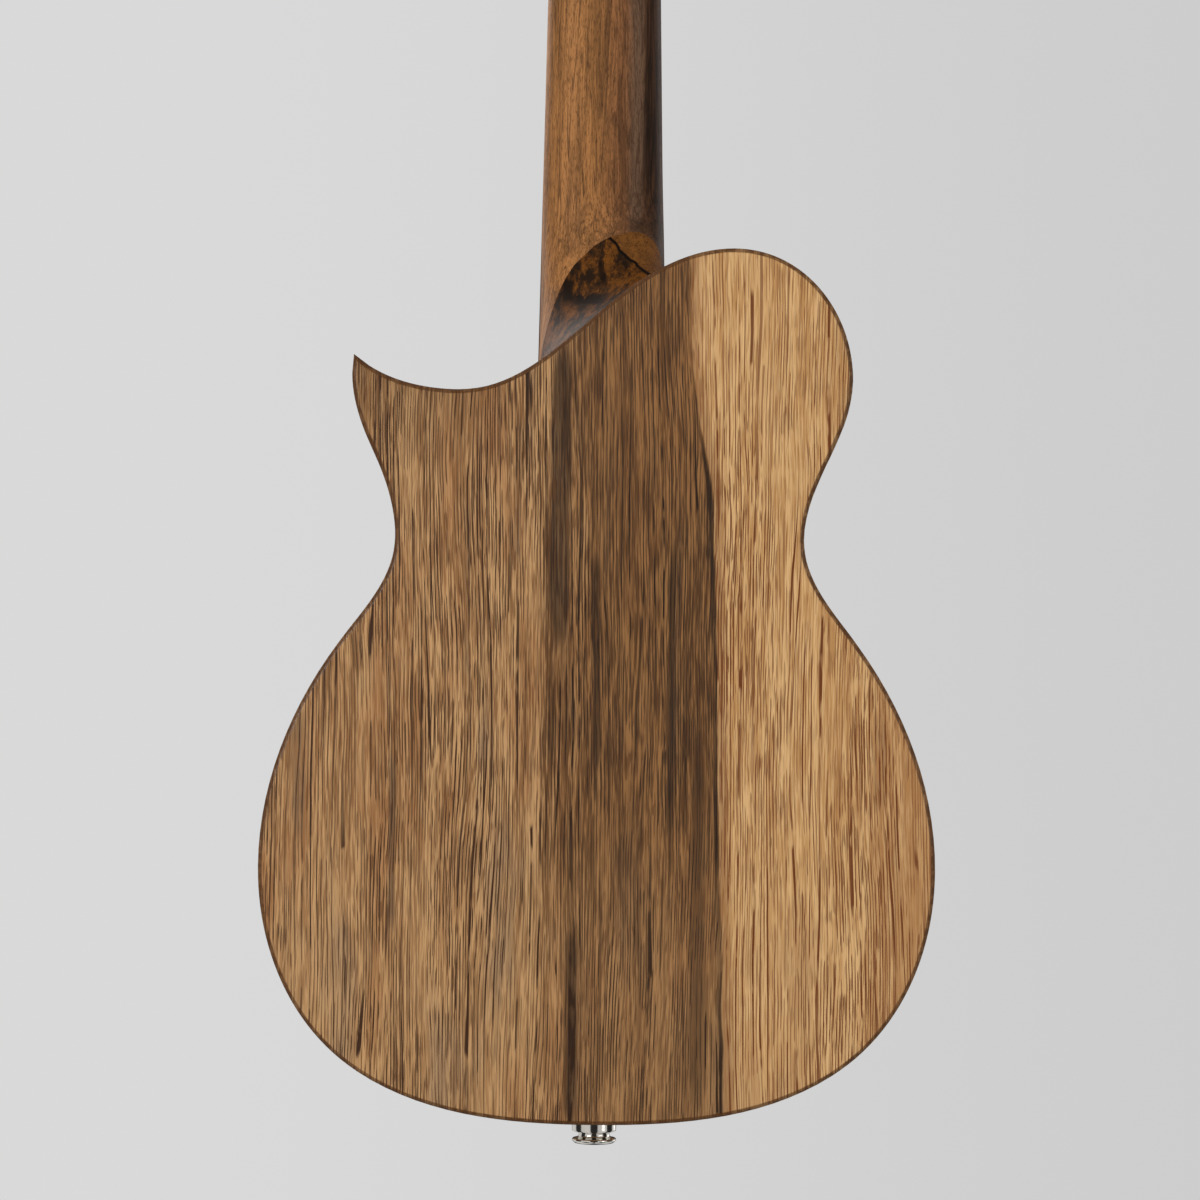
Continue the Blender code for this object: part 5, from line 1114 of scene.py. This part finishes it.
class UKULELE_OT_neck(bpy.types.Operator):
    """Neck with its headstock in one piece, the stacked heel block and the headstock's overlay"""

    bl_idname = "ukulele.neck"
    bl_label = "Neck and Heel"

    def execute(self, context):
        scene = context.scene
        neck, hardware = scene.ukulele_neck, scene.ukulele_hardware
        middle = sum(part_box("back_plate"), Vector()).z / 2
        upper = [p for p in body_outline() if p.y > middle]
        joint = height_at(upper, 0)
        heel_rings, neck_rings = self.sweep_rings(neck, upper, joint)
        heel = skin(ends_drawn(heel_rings))
        make_piece(heel, "stacked_heel", "dark_heel_wood", "dark_heel_wood", nodes=["heel_block"])
        matrix = head_matrix(neck)
        shape = head_outline(neck, hardware)
        neck_rings += self.shaft_rings(neck, joint)
        neck_rings += self.head_rings(neck, matrix, shape)
        whole = skin(ends_drawn(neck_rings))
        make_piece(whole, "neck_and_headstock", "oiled_neck_wood", "oiled_neck_wood", nodes=["neck"])
        self.make_overlay(neck, matrix, shape)
        return {"FINISHED"}

    def sweep_rings(self, neck, upper, joint):
        """Rings of the heel block, and of the neck over it, from inside the body to past the sweep."""
        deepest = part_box("side_bass")[1].y
        heel_rings, neck_rings = [], []
        buried = -1.2 * MM
        angles = [math.pi / 2 * i / SWEEP_STEPS for i in range(SWEEP_STEPS + 1)]
        distances = [buried]
        distances += [neck.sweep * (1 - math.cos(angle)) for angle in angles]
        distances += [neck.sweep + (neck.follow - neck.sweep) * i / 3 for i in (1, 2, 3)]
        for distance in distances:
            follow = follow_share(neck, distance)
            share = max(0, min(1, (neck.sweep - distance) / neck.sweep))
            depth = neck.depth_at_joint + (deepest - neck.depth_at_joint) * (1 - math.sqrt(1 - share * share))
            half = board_half_width(-joint - distance)

            def place(x, y):
                return (x, y, joint + distance + follow * (height_at(upper, x) - joint))

            nearness = max(0, min(1, 1 - distance / neck.sweep))
            roundness = neck.roundness + (neck.heel_roundness - neck.roundness) * nearness**2
            points = section(half, 0, depth, roundness, neck.glue_plane)
            if depth > neck.glue_plane:
                rear = points[SIDE_STEPS : SIDE_STEPS + BACK_STEPS + 1]
                heel_rings.append(closed_ring(rear, neck.glue_plane, place))
                points = [(x, min(y, neck.glue_plane)) for x, y in points]
            neck_rings.append(closed_ring(points, 0, place))
        tip = place_of_tip(neck, deepest, joint, upper)
        heel_rings.append([tip] * len(heel_rings[0]))
        return heel_rings, neck_rings

    def shaft_rings(self, neck, joint):
        """Rings of the plain shaft, up to just below the nut."""
        start = joint + neck.follow
        shaft_end = -8 * MM
        rings = []
        for i in range(1, SHAFT_STEPS + 1):
            z = start + (shaft_end - start) * i / SHAFT_STEPS
            depth = neck.depth_at_nut + (neck.depth_at_joint - neck.depth_at_nut) * z / joint
            points = section(board_half_width(-z), 0, depth, neck.roundness, NO_PLANE)
            rings.append(closed_ring(points, 0, lambda x, y: (x, y, z)))
        return rings

    def head_rings(self, neck, matrix, shape):
        """Rings of the headstock: the ramp behind the nut, the sides, and the curved top."""
        thick = neck.head_thickness
        nut_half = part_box("nut")[1].x
        rings = []
        for height, roundness, front in HEAD_RAMP:
            height, front = height * MM, front * MM
            half = reach_at(shape, height) or nut_half
            depth = thick - RAMP_THINNING if height < RAMP_END else thick
            points = section(half, front, depth, roundness, NO_PLANE)
            rings.append(closed_ring(points, front, lambda x, y: matrix @ Vector((x, y, height))))
        corner = max((p for p in shape if p.x > 0), key=lambda p: p.x + p.y)
        base = corner.y - CORNER_DROP
        front = neck.overlay_thickness
        for i in range(1, HEAD_STEPS + 1):
            height = HEAD_START + (base - HEAD_START) * i / HEAD_STEPS
            points = section(reach_at(shape, height), front, thick, SQUARE, NO_PLANE)
            rings.append(closed_ring(points, front, lambda x, y: matrix @ Vector((x, y, height))))
        for share in (0.5, 0.9, 1):
            half = corner.x + (reach_at(shape, base) - corner.x) * (1 - share)
            shrink = 0.35 * MM if share == 1 else 0
            points = section(half - shrink, front, thick - shrink, SQUARE, NO_PLANE)

            def placed(x, y):
                return matrix @ Vector((x, y, base + (height_at(shape, x) - base) * share))

            rings.append(closed_ring(points, front, placed))
        return rings

    def make_overlay(self, neck, matrix, shape):
        """The thin plate on the headstock's face, with a softened rim."""
        overlay = prism([(x, neck.overlay_thickness, z) for x, z in shape], (0, -neck.overlay_thickness, 0))
        rim = [e for e in sharp_edges(overlay) if all(abs(v.co.y) < SAME_POINT for v in e.verts)]
        bevel(overlay, rim, 0.5 * MM, 3)
        bmesh.ops.transform(overlay, matrix=matrix, verts=overlay.verts)
        make_piece(overlay, "overlay", "rosewood", "rosewood", nodes=["headstock_overlay"])


def place_of_tip(neck, deepest, joint, upper):
    """The point where the heel's glue line begins, at the top of the heel block."""
    rise = (neck.glue_plane - neck.depth_at_joint) / (deepest - neck.depth_at_joint)
    distance = neck.sweep * (1 - math.sqrt(1 - (1 - rise) ** 2))
    follow = follow_share(neck, distance)
    return Vector((0, neck.glue_plane, joint + distance + follow * (height_at(upper, 0) - joint)))


def fret_place(neck, number):
    """The height of a fret, from the scale length in steps of half a tone."""
    return -neck.scale_length * (1 - 2 ** (-number / 12))


class UKULELE_OT_fretboard(bpy.types.Operator):
    """Fretboard with 18 frets, position dots on its face and edge, and the nut"""

    bl_idname = "ukulele.fretboard"
    bl_label = "Fretboard"

    def execute(self, context):
        neck = context.scene.ukulele_neck
        low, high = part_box("fretboard")
        face = low.y + neck.fret_crown
        nut, end = board_half_width(0), high.x
        corners = [(nut, 0, -SEAT / 2), (-nut, 0, -SEAT / 2), (-end, 0, low.z), (end, 0, low.z)]
        board = prism(corners, (0, face, 0))
        edges = [e for e in sharp_edges(board) if any(v.co.y < face / 2 for v in e.verts)]
        bevel(board, edges, 0.5 * MM, 3)
        make_piece(board, "fingerboard", "rosewood", "rosewood", nodes=["fretboard"])
        wires = []
        set_back, tang, end_slope = 0.15 * MM, 0.3 * MM, 0.7 * MM
        crown_steps, crown_fullness = 8, 0.8
        for number in range(1, FRET_COUNT + 1):
            z = fret_place(neck, number)
            half, half_width = board_half_width(-z) - set_back, neck.fret_width / 2
            profile = [(-half, face + tang, z - half_width)]
            for i in range(crown_steps + 1):
                angle = math.pi * i / crown_steps
                crown = neck.fret_crown * math.sin(angle) ** crown_fullness
                profile.append((-half, face - crown, z - half_width * math.cos(angle)))
            profile.append((-half, face + tang, z + half_width))
            wire = prism(profile, (2 * half, 0, 0))
            ends = [v for v in wire.verts if v.co.y < face - 0.5 * MM]
            bmesh.ops.scale(wire, verts=ends, vec=(1 - end_slope / half, 1, 1))
            wires.append(wire)
        make_piece(join(wires), "frets", "nickel_plate", "nickel_plate")
        dots = []
        radius, side_radius = 2.4 * MM, 0.9 * MM
        for number in FRET_MARKS:
            z = (fret_place(neck, number) + fret_place(neck, number - 1)) / 2
            across = (-7 * MM, 7 * MM) if number == DOUBLE_MARK else (0,)
            proud = face - 0.03 * MM
            profile = [(0, proud), (radius, proud), (radius, face + MM), (0, face + MM)]
            dots += [lathe(profile, 32, "Y", (x, 0, z)) for x in across]
            edge = -board_half_width(-z)
            along = (-3 * MM, 3 * MM) if number == DOUBLE_MARK else (0,)
            proud = edge - 0.04 * MM
            profile = [(0, proud), (side_radius, proud), (side_radius, edge + MM), (0, edge + MM)]
            dots += [lathe(profile, 20, "X", (0, face / 2, z + step)) for step in along]
        make_piece(join(dots), "position_dots", "bone", "bone")
        nut_shape = read_shape("nut")
        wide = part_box("nut")[1].x
        sides = [v for v in nut_shape.verts if abs(abs(v.co.x) - wide) < ON_PLANE]
        edges = [e for e in sharp_edges(nut_shape) if all(v in sides for v in e.verts)]
        bevel(nut_shape, edges, 0.5 * MM, 2)
        make_piece(nut_shape, "bone_nut", "bone", "bone", nodes=["nut"])
        return {"FINISHED"}


class UKULELE_OT_bridge(bpy.types.Operator):
    """Bridge with its saddle and the strings' ties"""

    bl_idname = "ukulele.bridge"
    bl_label = "Bridge"

    def execute(self, context):
        bridge = read_shape("bridge")
        low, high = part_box("bridge")
        floor = low.y + context.scene.ukulele_hardware.groove_depth
        front = min(v.co.z for v in bridge.verts if abs(v.co.y - floor) < ON_PLANE)
        ties = [self.make_tie(name, low.y, front, low.z) for name in STRINGS]
        make_piece(join(ties), "string_ties", "clear_string", "clear_string")

        def at_rim(vert):
            x, _, z = vert.co
            return min(abs(z - low.z), abs(z - high.z), abs(abs(x) - high.x)) < ON_PLANE

        outer = [e for e in sharp_edges(bridge, 20) if all(at_rim(v) for v in e.verts)]
        outer = [e for e in outer if any(v.co.y < high.y - ON_PLANE for v in e.verts)]
        bevel(bridge, [e for e in outer if e.calc_length() > 1.5 * MM], 0.5 * MM, 2)
        make_piece(bridge, "bridge_block", "rosewood", "rosewood", nodes=["bridge"])
        saddle = read_shape("saddle")
        make_piece(saddle, "bone_saddle", "bone", "bone", nodes=["saddle"])
        return {"FINISHED"}

    def make_tie(self, name, top, front, back):
        """A string's end: up over the tie block, round the string before it, and back over itself."""
        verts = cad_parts[f"string_{name}"].data.vertices
        end = min(v.co.z for v in verts)
        tail = [v.co for v in verts if v.co.z < end + 0.01 * MM]
        r = (max(p.x for p in tail) - min(p.x for p in tail)) / 2
        x = sum(p.x for p in tail) / len(tail)
        level = sum(p.y for p in tail) / len(tail)
        step, over, middle = 1.2 * MM, top - r, (front + back) / 2
        path = [
            (x, level, end + 0.3 * MM),
            (x, level - 0.2 * MM, end - 0.05 * MM),
            (x + 0.1 * MM, level - 1.2 * MM, back - r - 0.35 * MM),
            (x + 0.2 * MM, over + 0.2 * MM, back - r * 0.3),
            (x + 0.4 * MM, over, back + step),
            (x + step, over, front - 0.7 * MM),
            (x + step, over + 0.6 * MM, front + r * 0.7),
            (x + 0.9 * MM, level + r, front + r + 0.3 * MM),
            (x, level + 2.1 * r, front + r + 0.6 * MM),
            (x - 0.9 * MM, level + r, front + r + 0.3 * MM),
            (x - step, over + 0.6 * MM, front + r * 0.7),
            (x - step, over, front - 0.7 * MM),
            (x + 0.4 * MM, over - 2.1 * r, middle),
            (x + 1.5 * step, over, back + 1.5 * MM),
            (x + 2.1 * step, over - 0.1 * MM, back + 0.2 * MM),
        ]
        return tube(path, r)


# A screw's head: radius and height over its plate, in mm
SCREW_HEAD = ((0, -0.3), (1.5, -0.3), (1.5, 0.3), (1.1, 0.7), (0.5, 0.88), (0, 0.9))

# A knob from its shaft outwards: share of its length, and share of its full size there
KNOB_STATIONS = (
    (0, 0.36),
    (0.01, 0.43),
    (0.05, 0.5),
    (0.12, 0.62),
    (0.22, 0.79),
    (0.35, 0.93),
    (0.48, 0.985),
    (0.62, 1.0),
    (0.75, 0.965),
    (0.86, 0.9),
    (0.94, 0.79),
    (0.985, 0.68),
    (1.0, 0.56),
    (1.0, 0.3),
)
KNOB_SIDES = 40


class UKULELE_OT_tuners(bpy.types.Operator):
    """Open tuners: plates with ears, worms, cogs, posts, bushings, screws and knobs"""

    bl_idname = "ukulele.tuners"
    bl_label = "Tuners"

    def execute(self, context):
        scene = context.scene
        neck, hardware = scene.ukulele_neck, scene.ukulele_hardware
        matrix = head_matrix(neck)
        bushings, screws = [], []
        for name in STRINGS:
            side = POST_SIDES[name]
            height = hardware.post_low if name in "ga" else hardware.post_high
            x = side * hardware.post_offset
            node = f"tuner_plate_{name}"
            base = read_shape(node)
            bevel(base, sharp_edges(base, 60), 0.2 * MM, 2)
            make_piece(base, f"tuner_base_{name}", "nickel_plate", "nickel_plate", nodes=[node])
            cog = read_shape(f"cog_{name}")
            bevel(cog, sharp_edges(cog, 40), 0.12 * MM, 1)
            make_piece(cog, f"brass_cog_{name}", "brass", "brass", f"post_{name}", [f"cog_{name}"])
            keep_node(f"worm_shaft_{name}", "nickel_plate")
            self.make_post(name, x, height, matrix)
            self.make_knob(name, side, matrix, hardware)
            radius = hardware.bushing_radius
            bore = 3.15 * MM
            ring = from_mm(((0, 0.2),), bore)
            ring += from_mm(((0, 0.2), (0, -0.5), (-0.3, -0.9)), radius)
            ring += from_mm(((0.4, -1.1), (0, -0.8), (0, 0.2)), bore)
            bushings.append(lathe(ring, 48, "Y", (x, 0, height)))
            plate_face = neck.head_thickness + SEAT + 1.2 * MM
            for step in (-5.0 * MM, 6.5 * MM):
                place = (x + side * step, 0, height + 4.6 * MM)
                screws.append(lathe(from_mm(SCREW_HEAD, height=plate_face), 24, "Y", place))
        for shapes, label in ((bushings, "post_bushings"), (screws, "plate_screws")):
            whole = join(shapes)
            bmesh.ops.transform(whole, matrix=matrix, verts=whole.verts)
            make_piece(whole, label, "nickel_plate", "nickel_plate")
        return {"FINISHED"}

    def make_post(self, name, x, height, matrix):
        """A string post with its waist and hole in front, and its screwed cog seat behind."""
        node = f"string_post_{name}"
        low, high = Vector((1, 1, 1)), Vector((-1, -1, -1))
        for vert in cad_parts[node].data.vertices:
            local = matrix.inverted() @ vert.co
            low = Vector(map(min, low, local))
            high = Vector(map(max, high, local))
        front, back = low.y, high.y
        r, waist, stub, screw = 3.0 * MM, 2.6 * MM, 1.8 * MM, 2.9 * MM
        cog_back = back - 1.2 * MM
        cog_front = cog_back - 3.6 * MM
        hole = front + 2.4 * MM
        profile = [(0, front)] + from_mm(((-0.9, 0), (-0.3, 0.2), (0, 0.7)), r, front)
        waist_start, waist_length, waist_steps = hole - 1.4 * MM, 5.2 * MM, 8
        for i in range(waist_steps + 1):
            angle = 2 * math.pi * i / waist_steps
            level = waist_start + waist_length * i / waist_steps
            profile.append((r - (r - waist) * (1 - math.cos(angle)) / 2, level))
        profile += [(r, cog_front), (stub, cog_front), (stub, cog_back), (screw, cog_back)]
        profile += [(screw, cog_back + 0.6 * MM), (screw * 0.8, back - 0.15 * MM), (screw * 0.5, back)]
        profile += [(0, back)]
        post = lathe(profile, 40, "Y", (x, 0, height))
        bmesh.ops.transform(post, matrix=matrix, verts=post.verts)
        label, body = f"post_{name}_turned", f"post_{name}"
        made = make_piece(post, label, "nickel_plate", "nickel_plate", body, [node])
        bore, slot_depth, slot_half = 0.9 * MM, 0.6 * MM, 0.35 * MM
        profile = [(0, -2 * r), (bore, -2 * r), (bore, 2 * r), (0, 2 * r)]
        drill = lathe(profile, 20, "X", (x, hole, height))
        slot_low = (x - 2 * screw, back - slot_depth, height - slot_half)
        slot_high = (x + 2 * screw, back + MM, height + slot_half)
        slot = block(slot_low, slot_high)
        for tool in (drill, slot):
            bmesh.ops.transform(tool, matrix=matrix, verts=tool.verts)
        cut(made, [drill, slot])

    def make_knob(self, name, side, matrix, hardware):
        """An oval knob, narrow where it meets its shaft."""
        node = f"tuner_knob_{name}"
        points = [matrix.inverted() @ v.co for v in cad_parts[node].data.vertices]
        start = min(abs(p.x) for p in points)
        far = max(abs(p.x) for p in points)
        y = (min(p.y for p in points) + max(p.y for p in points)) / 2
        z = (min(p.z for p in points) + max(p.z for p in points)) / 2
        rings = []
        for share, size in KNOB_STATIONS:
            ring = []
            for i in range(KNOB_SIDES):
                angle = 2 * math.pi * i / KNOB_SIDES
                ring.append(matrix @ Vector((
                    side * (start + share * (far - start)),
                    y + size * hardware.knob_half_thickness * math.cos(angle),
                    z + size * hardware.knob_half_height * math.sin(angle),
                )))
            rings.append(ring)
        middle = matrix @ Vector((side * start, y, z))
        outer = matrix @ Vector((side * far, y, z))
        rings = [[middle] * KNOB_SIDES, *rings, [outer] * KNOB_SIDES]
        label, body = f"knob_{name}_oval", f"knob_{name}"
        make_piece(skin(rings), label, "nickel_plate", "nickel_plate", body, [node])


class UKULELE_OT_end_pin(bpy.types.Operator):
    """The strap button on the jack, turned and plated"""

    bl_idname = "ukulele.end_pin"
    bl_label = "End Pin"

    def execute(self, context):
        low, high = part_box("strap_button")
        centre = ((low.x + high.x) / 2, (low.y + high.y) / 2, 0)
        start, end, r = high.z, low.z, high.x
        waist, bore = 5.3 * MM, 4.85 * MM
        profile = [(bore, start + SEAT), (r - 0.35 * MM, start + SEAT)]
        profile += from_mm(((0, -0.2), (0, -0.5), (0, -4.3), (0, -4.6), (-0.12, -4.88), (-0.4, -5)), r, start)
        profile += from_mm(((0.5, -5.1), (0.12, -5.35), (0, -5.8)), waist, start)
        profile += from_mm(((0, 2.9), (0.15, 2.4), (0.9, 2)), waist, end)
        profile += from_mm(((-0.3, 1.75), (0, 1.45), (0, 1.05)), r, end)
        profile += from_mm(((-0.25, 0.7), (-0.9, 0.1), (-1.3, 0)), r, end)
        profile += from_mm(((0.2, 0), (0, 0.2)), bore, end)
        profile += [(bore, start + SEAT)]
        make_piece(lathe(profile, 72, "Z", centre), "turned_strap_button", "nickel_plate", "nickel_plate",
                   nodes=["strap_button"])
        return {"FINISHED"}


COVE_STEPS = 12
WALL_HEIGHT = 6  # metres, of the backdrop above its floor
SENSOR_WIDTH = 36  # millimetres
VIEW_END = 50  # metres, how far the camera sees
LAMP_TARGET = Vector((0, 0, -0.25))


class UKULELE_OT_stage(bpy.types.Operator):
    """Floor, cove, lamps and the camera of the reference view"""

    bl_idname = "ukulele.stage"
    bl_label = "Stage and Camera"

    def execute(self, context):
        scene = context.scene
        stage = scene.ukulele_stage
        level, radius, cove = stage.floor_level, stage.floor_radius, stage.cove_radius
        profile = [(0, level), (radius * 0.5, level), (radius, level)]
        for i in range(1, COVE_STEPS + 1):
            angle = math.pi / 2 * i / COVE_STEPS
            profile.append((radius + cove * math.sin(angle), level + cove * (1 - math.cos(angle))))
        profile.append((radius + cove, level + WALL_HEIGHT))
        bm = lathe(profile, TURN_STEPS)
        mesh = bpy.data.meshes.new("backdrop")
        bm.to_mesh(mesh)
        bm.free()
        mesh.shade_smooth()
        backdrop = bpy.data.objects.new("backdrop", mesh)
        scene.collection.objects.link(backdrop)
        mesh.materials.append(self.paper(stage))
        backdrop.visible_diffuse = False
        backdrop.visible_shadow = False

        world = bpy.data.worlds.new("even_light")
        world.use_nodes = True
        sky = world.node_tree.nodes["Background"]
        sky.inputs["Color"].default_value = (1, 1, 1, 1)
        sky.inputs["Strength"].default_value = stage.world_light
        scene.world = world
        power = stage.lamp_power
        lamps = (
            ("key_lamp", (1.7, 2.1, 0.35), 1.3, power * 0.92),
            ("fill_lamp", (-2.0, 1.7, -0.1), 1.6, power * 0.25),
            ("front_key_lamp", (1.5, -2.2, 0.9), 1.3, power * 0.9),
            ("front_fill_lamp", (-1.9, -1.7, -0.1), 1.6, power * 0.2),
            ("top_lamp", (0.2, 0.1, 2.6), 1.6, power * 0.35),
        )
        for name, place, size, watts in lamps:
            data = bpy.data.lights.new(name, "AREA")
            data.shape = "DISK"
            data.size = size
            data.energy = watts
            lamp = bpy.data.objects.new(name, data)
            lamp.location = place
            lamp.rotation_euler = (LAMP_TARGET - Vector(place)).to_track_quat("-Z", "Y").to_euler()
            lamp.visible_camera = False
            lamp.visible_glossy = name != "top_lamp"
            scene.collection.objects.link(lamp)

        data = bpy.data.cameras.new("reference_camera")
        data.lens = stage.focal_length
        data.sensor_width = SENSOR_WIDTH
        data.clip_end = VIEW_END
        camera = bpy.data.objects.new("reference_camera", data)
        place = Matrix.Translation((stage.camera_offset, stage.camera_distance, stage.camera_height))
        turn = Matrix.Rotation(math.pi, 4, "Z") @ Matrix.Rotation(math.pi / 2, 4, "X")
        camera.matrix_world = place @ turn @ Matrix.Rotation(stage.camera_roll, 4, "Z")
        scene.collection.objects.link(camera)
        scene.camera = camera
        scene.view_settings.view_transform = "Standard"
        return {"FINISHED"}

    def paper(self, stage):
        """Pale paper: lit as a floor near the object, and further out a glowing tone with painted shade,
        darker towards -X.
        """
        finish = Finish("backdrop_paper", 0.9)
        x, y, _ = finish.axes(finish.position)
        pale = tuple(stage.paper)
        finish.set("Base Color", pale)
        # Painted shade: the paper's tone darkens towards -X, as if lit from +X.
        tone = finish.mix(finish.between(x, -1.0, 0.7), shaded(pale, 0.88), pale)
        path = finish.add("LightPath").outputs
        bearing = finish.math("ARCTAN2", x, y)
        flag_count = 4  # dark flags round the object, which only shiny pieces mirror
        flags = finish.math("COSINE", finish.math("MULTIPLY", bearing, flag_count))
        flags = finish.between(flags, 0.1, 0.36, 1, 0.04)
        share = finish.math("MULTIPLY", path["Is Glossy Ray"], finish.math("SUBTRACT", 1, flags))
        glow = finish.add("Emission", tone, finish.math("SUBTRACT", 1, share))
        reach = finish.math("SQRT", finish.math("MULTIPLY_ADD", x, x, finish.math("MULTIPLY", y, y)))
        far = finish.between(reach, 1.2, 2.6)
        direct = finish.math("MAXIMUM", path["Is Camera Ray"], path["Is Glossy Ray"])
        direct = finish.math("MAXIMUM", direct, path["Is Transmission Ray"])
        plain = finish.math("MAXIMUM", finish.times(far, direct), path["Is Glossy Ray"])
        mixer = finish.add("MixShader", plain, finish.shader.outputs[0], glow.outputs[0])
        finish.tree.links.new(mixer.outputs[0], finish.tree.nodes["Material Output"].inputs["Surface"])
        return finish.material


STEPS = (
    UKULELE_OT_stage,
    UKULELE_OT_plates,
    UKULELE_OT_sides,
    UKULELE_OT_inside,
    UKULELE_OT_neck,
    UKULELE_OT_fretboard,
    UKULELE_OT_bridge,
    UKULELE_OT_tuners,
    UKULELE_OT_end_pin,
)
GROUPS = {
    "ukulele_woods": UkuleleWoods,
    "ukulele_body": UkuleleBody,
    "ukulele_neck": UkuleleNeck,
    "ukulele_hardware": UkuleleHardware,
    "ukulele_stage": UkuleleStage,
}


class UKULELE_PT_panel(bpy.types.Panel):
    """Lists the building steps and the settings"""

    bl_idname = "UKULELE_PT_panel"
    bl_label = "Tenor Ukulele"
    bl_space_type = "VIEW_3D"
    bl_region_type = "UI"
    bl_category = "Ukulele"

    def draw(self, context):
        for step in STEPS:
            self.layout.operator(step.bl_idname)
        for name, group in GROUPS.items():
            column = self.layout.column(align=True)
            for setting in group.__annotations__:
                column.prop(getattr(context.scene, name), setting)


def register():
    for group in GROUPS.values():
        bpy.utils.register_class(group)
    for name, group in GROUPS.items():
        setattr(bpy.types.Scene, name, PointerProperty(type=group))
    for step in STEPS:
        bpy.utils.register_class(step)
    bpy.utils.register_class(UKULELE_PT_panel)


def unregister():
    bpy.utils.unregister_class(UKULELE_PT_panel)
    for step in reversed(STEPS):
        bpy.utils.unregister_class(step)
    for name in GROUPS:
        delattr(bpy.types.Scene, name)
    for group in reversed(GROUPS.values()):
        bpy.utils.unregister_class(group)


def main():
    register()
    for step in STEPS:
        group, name = step.bl_idname.split(".")
        getattr(getattr(bpy.ops, group), name)()


if __name__ == "__main__":
    main()
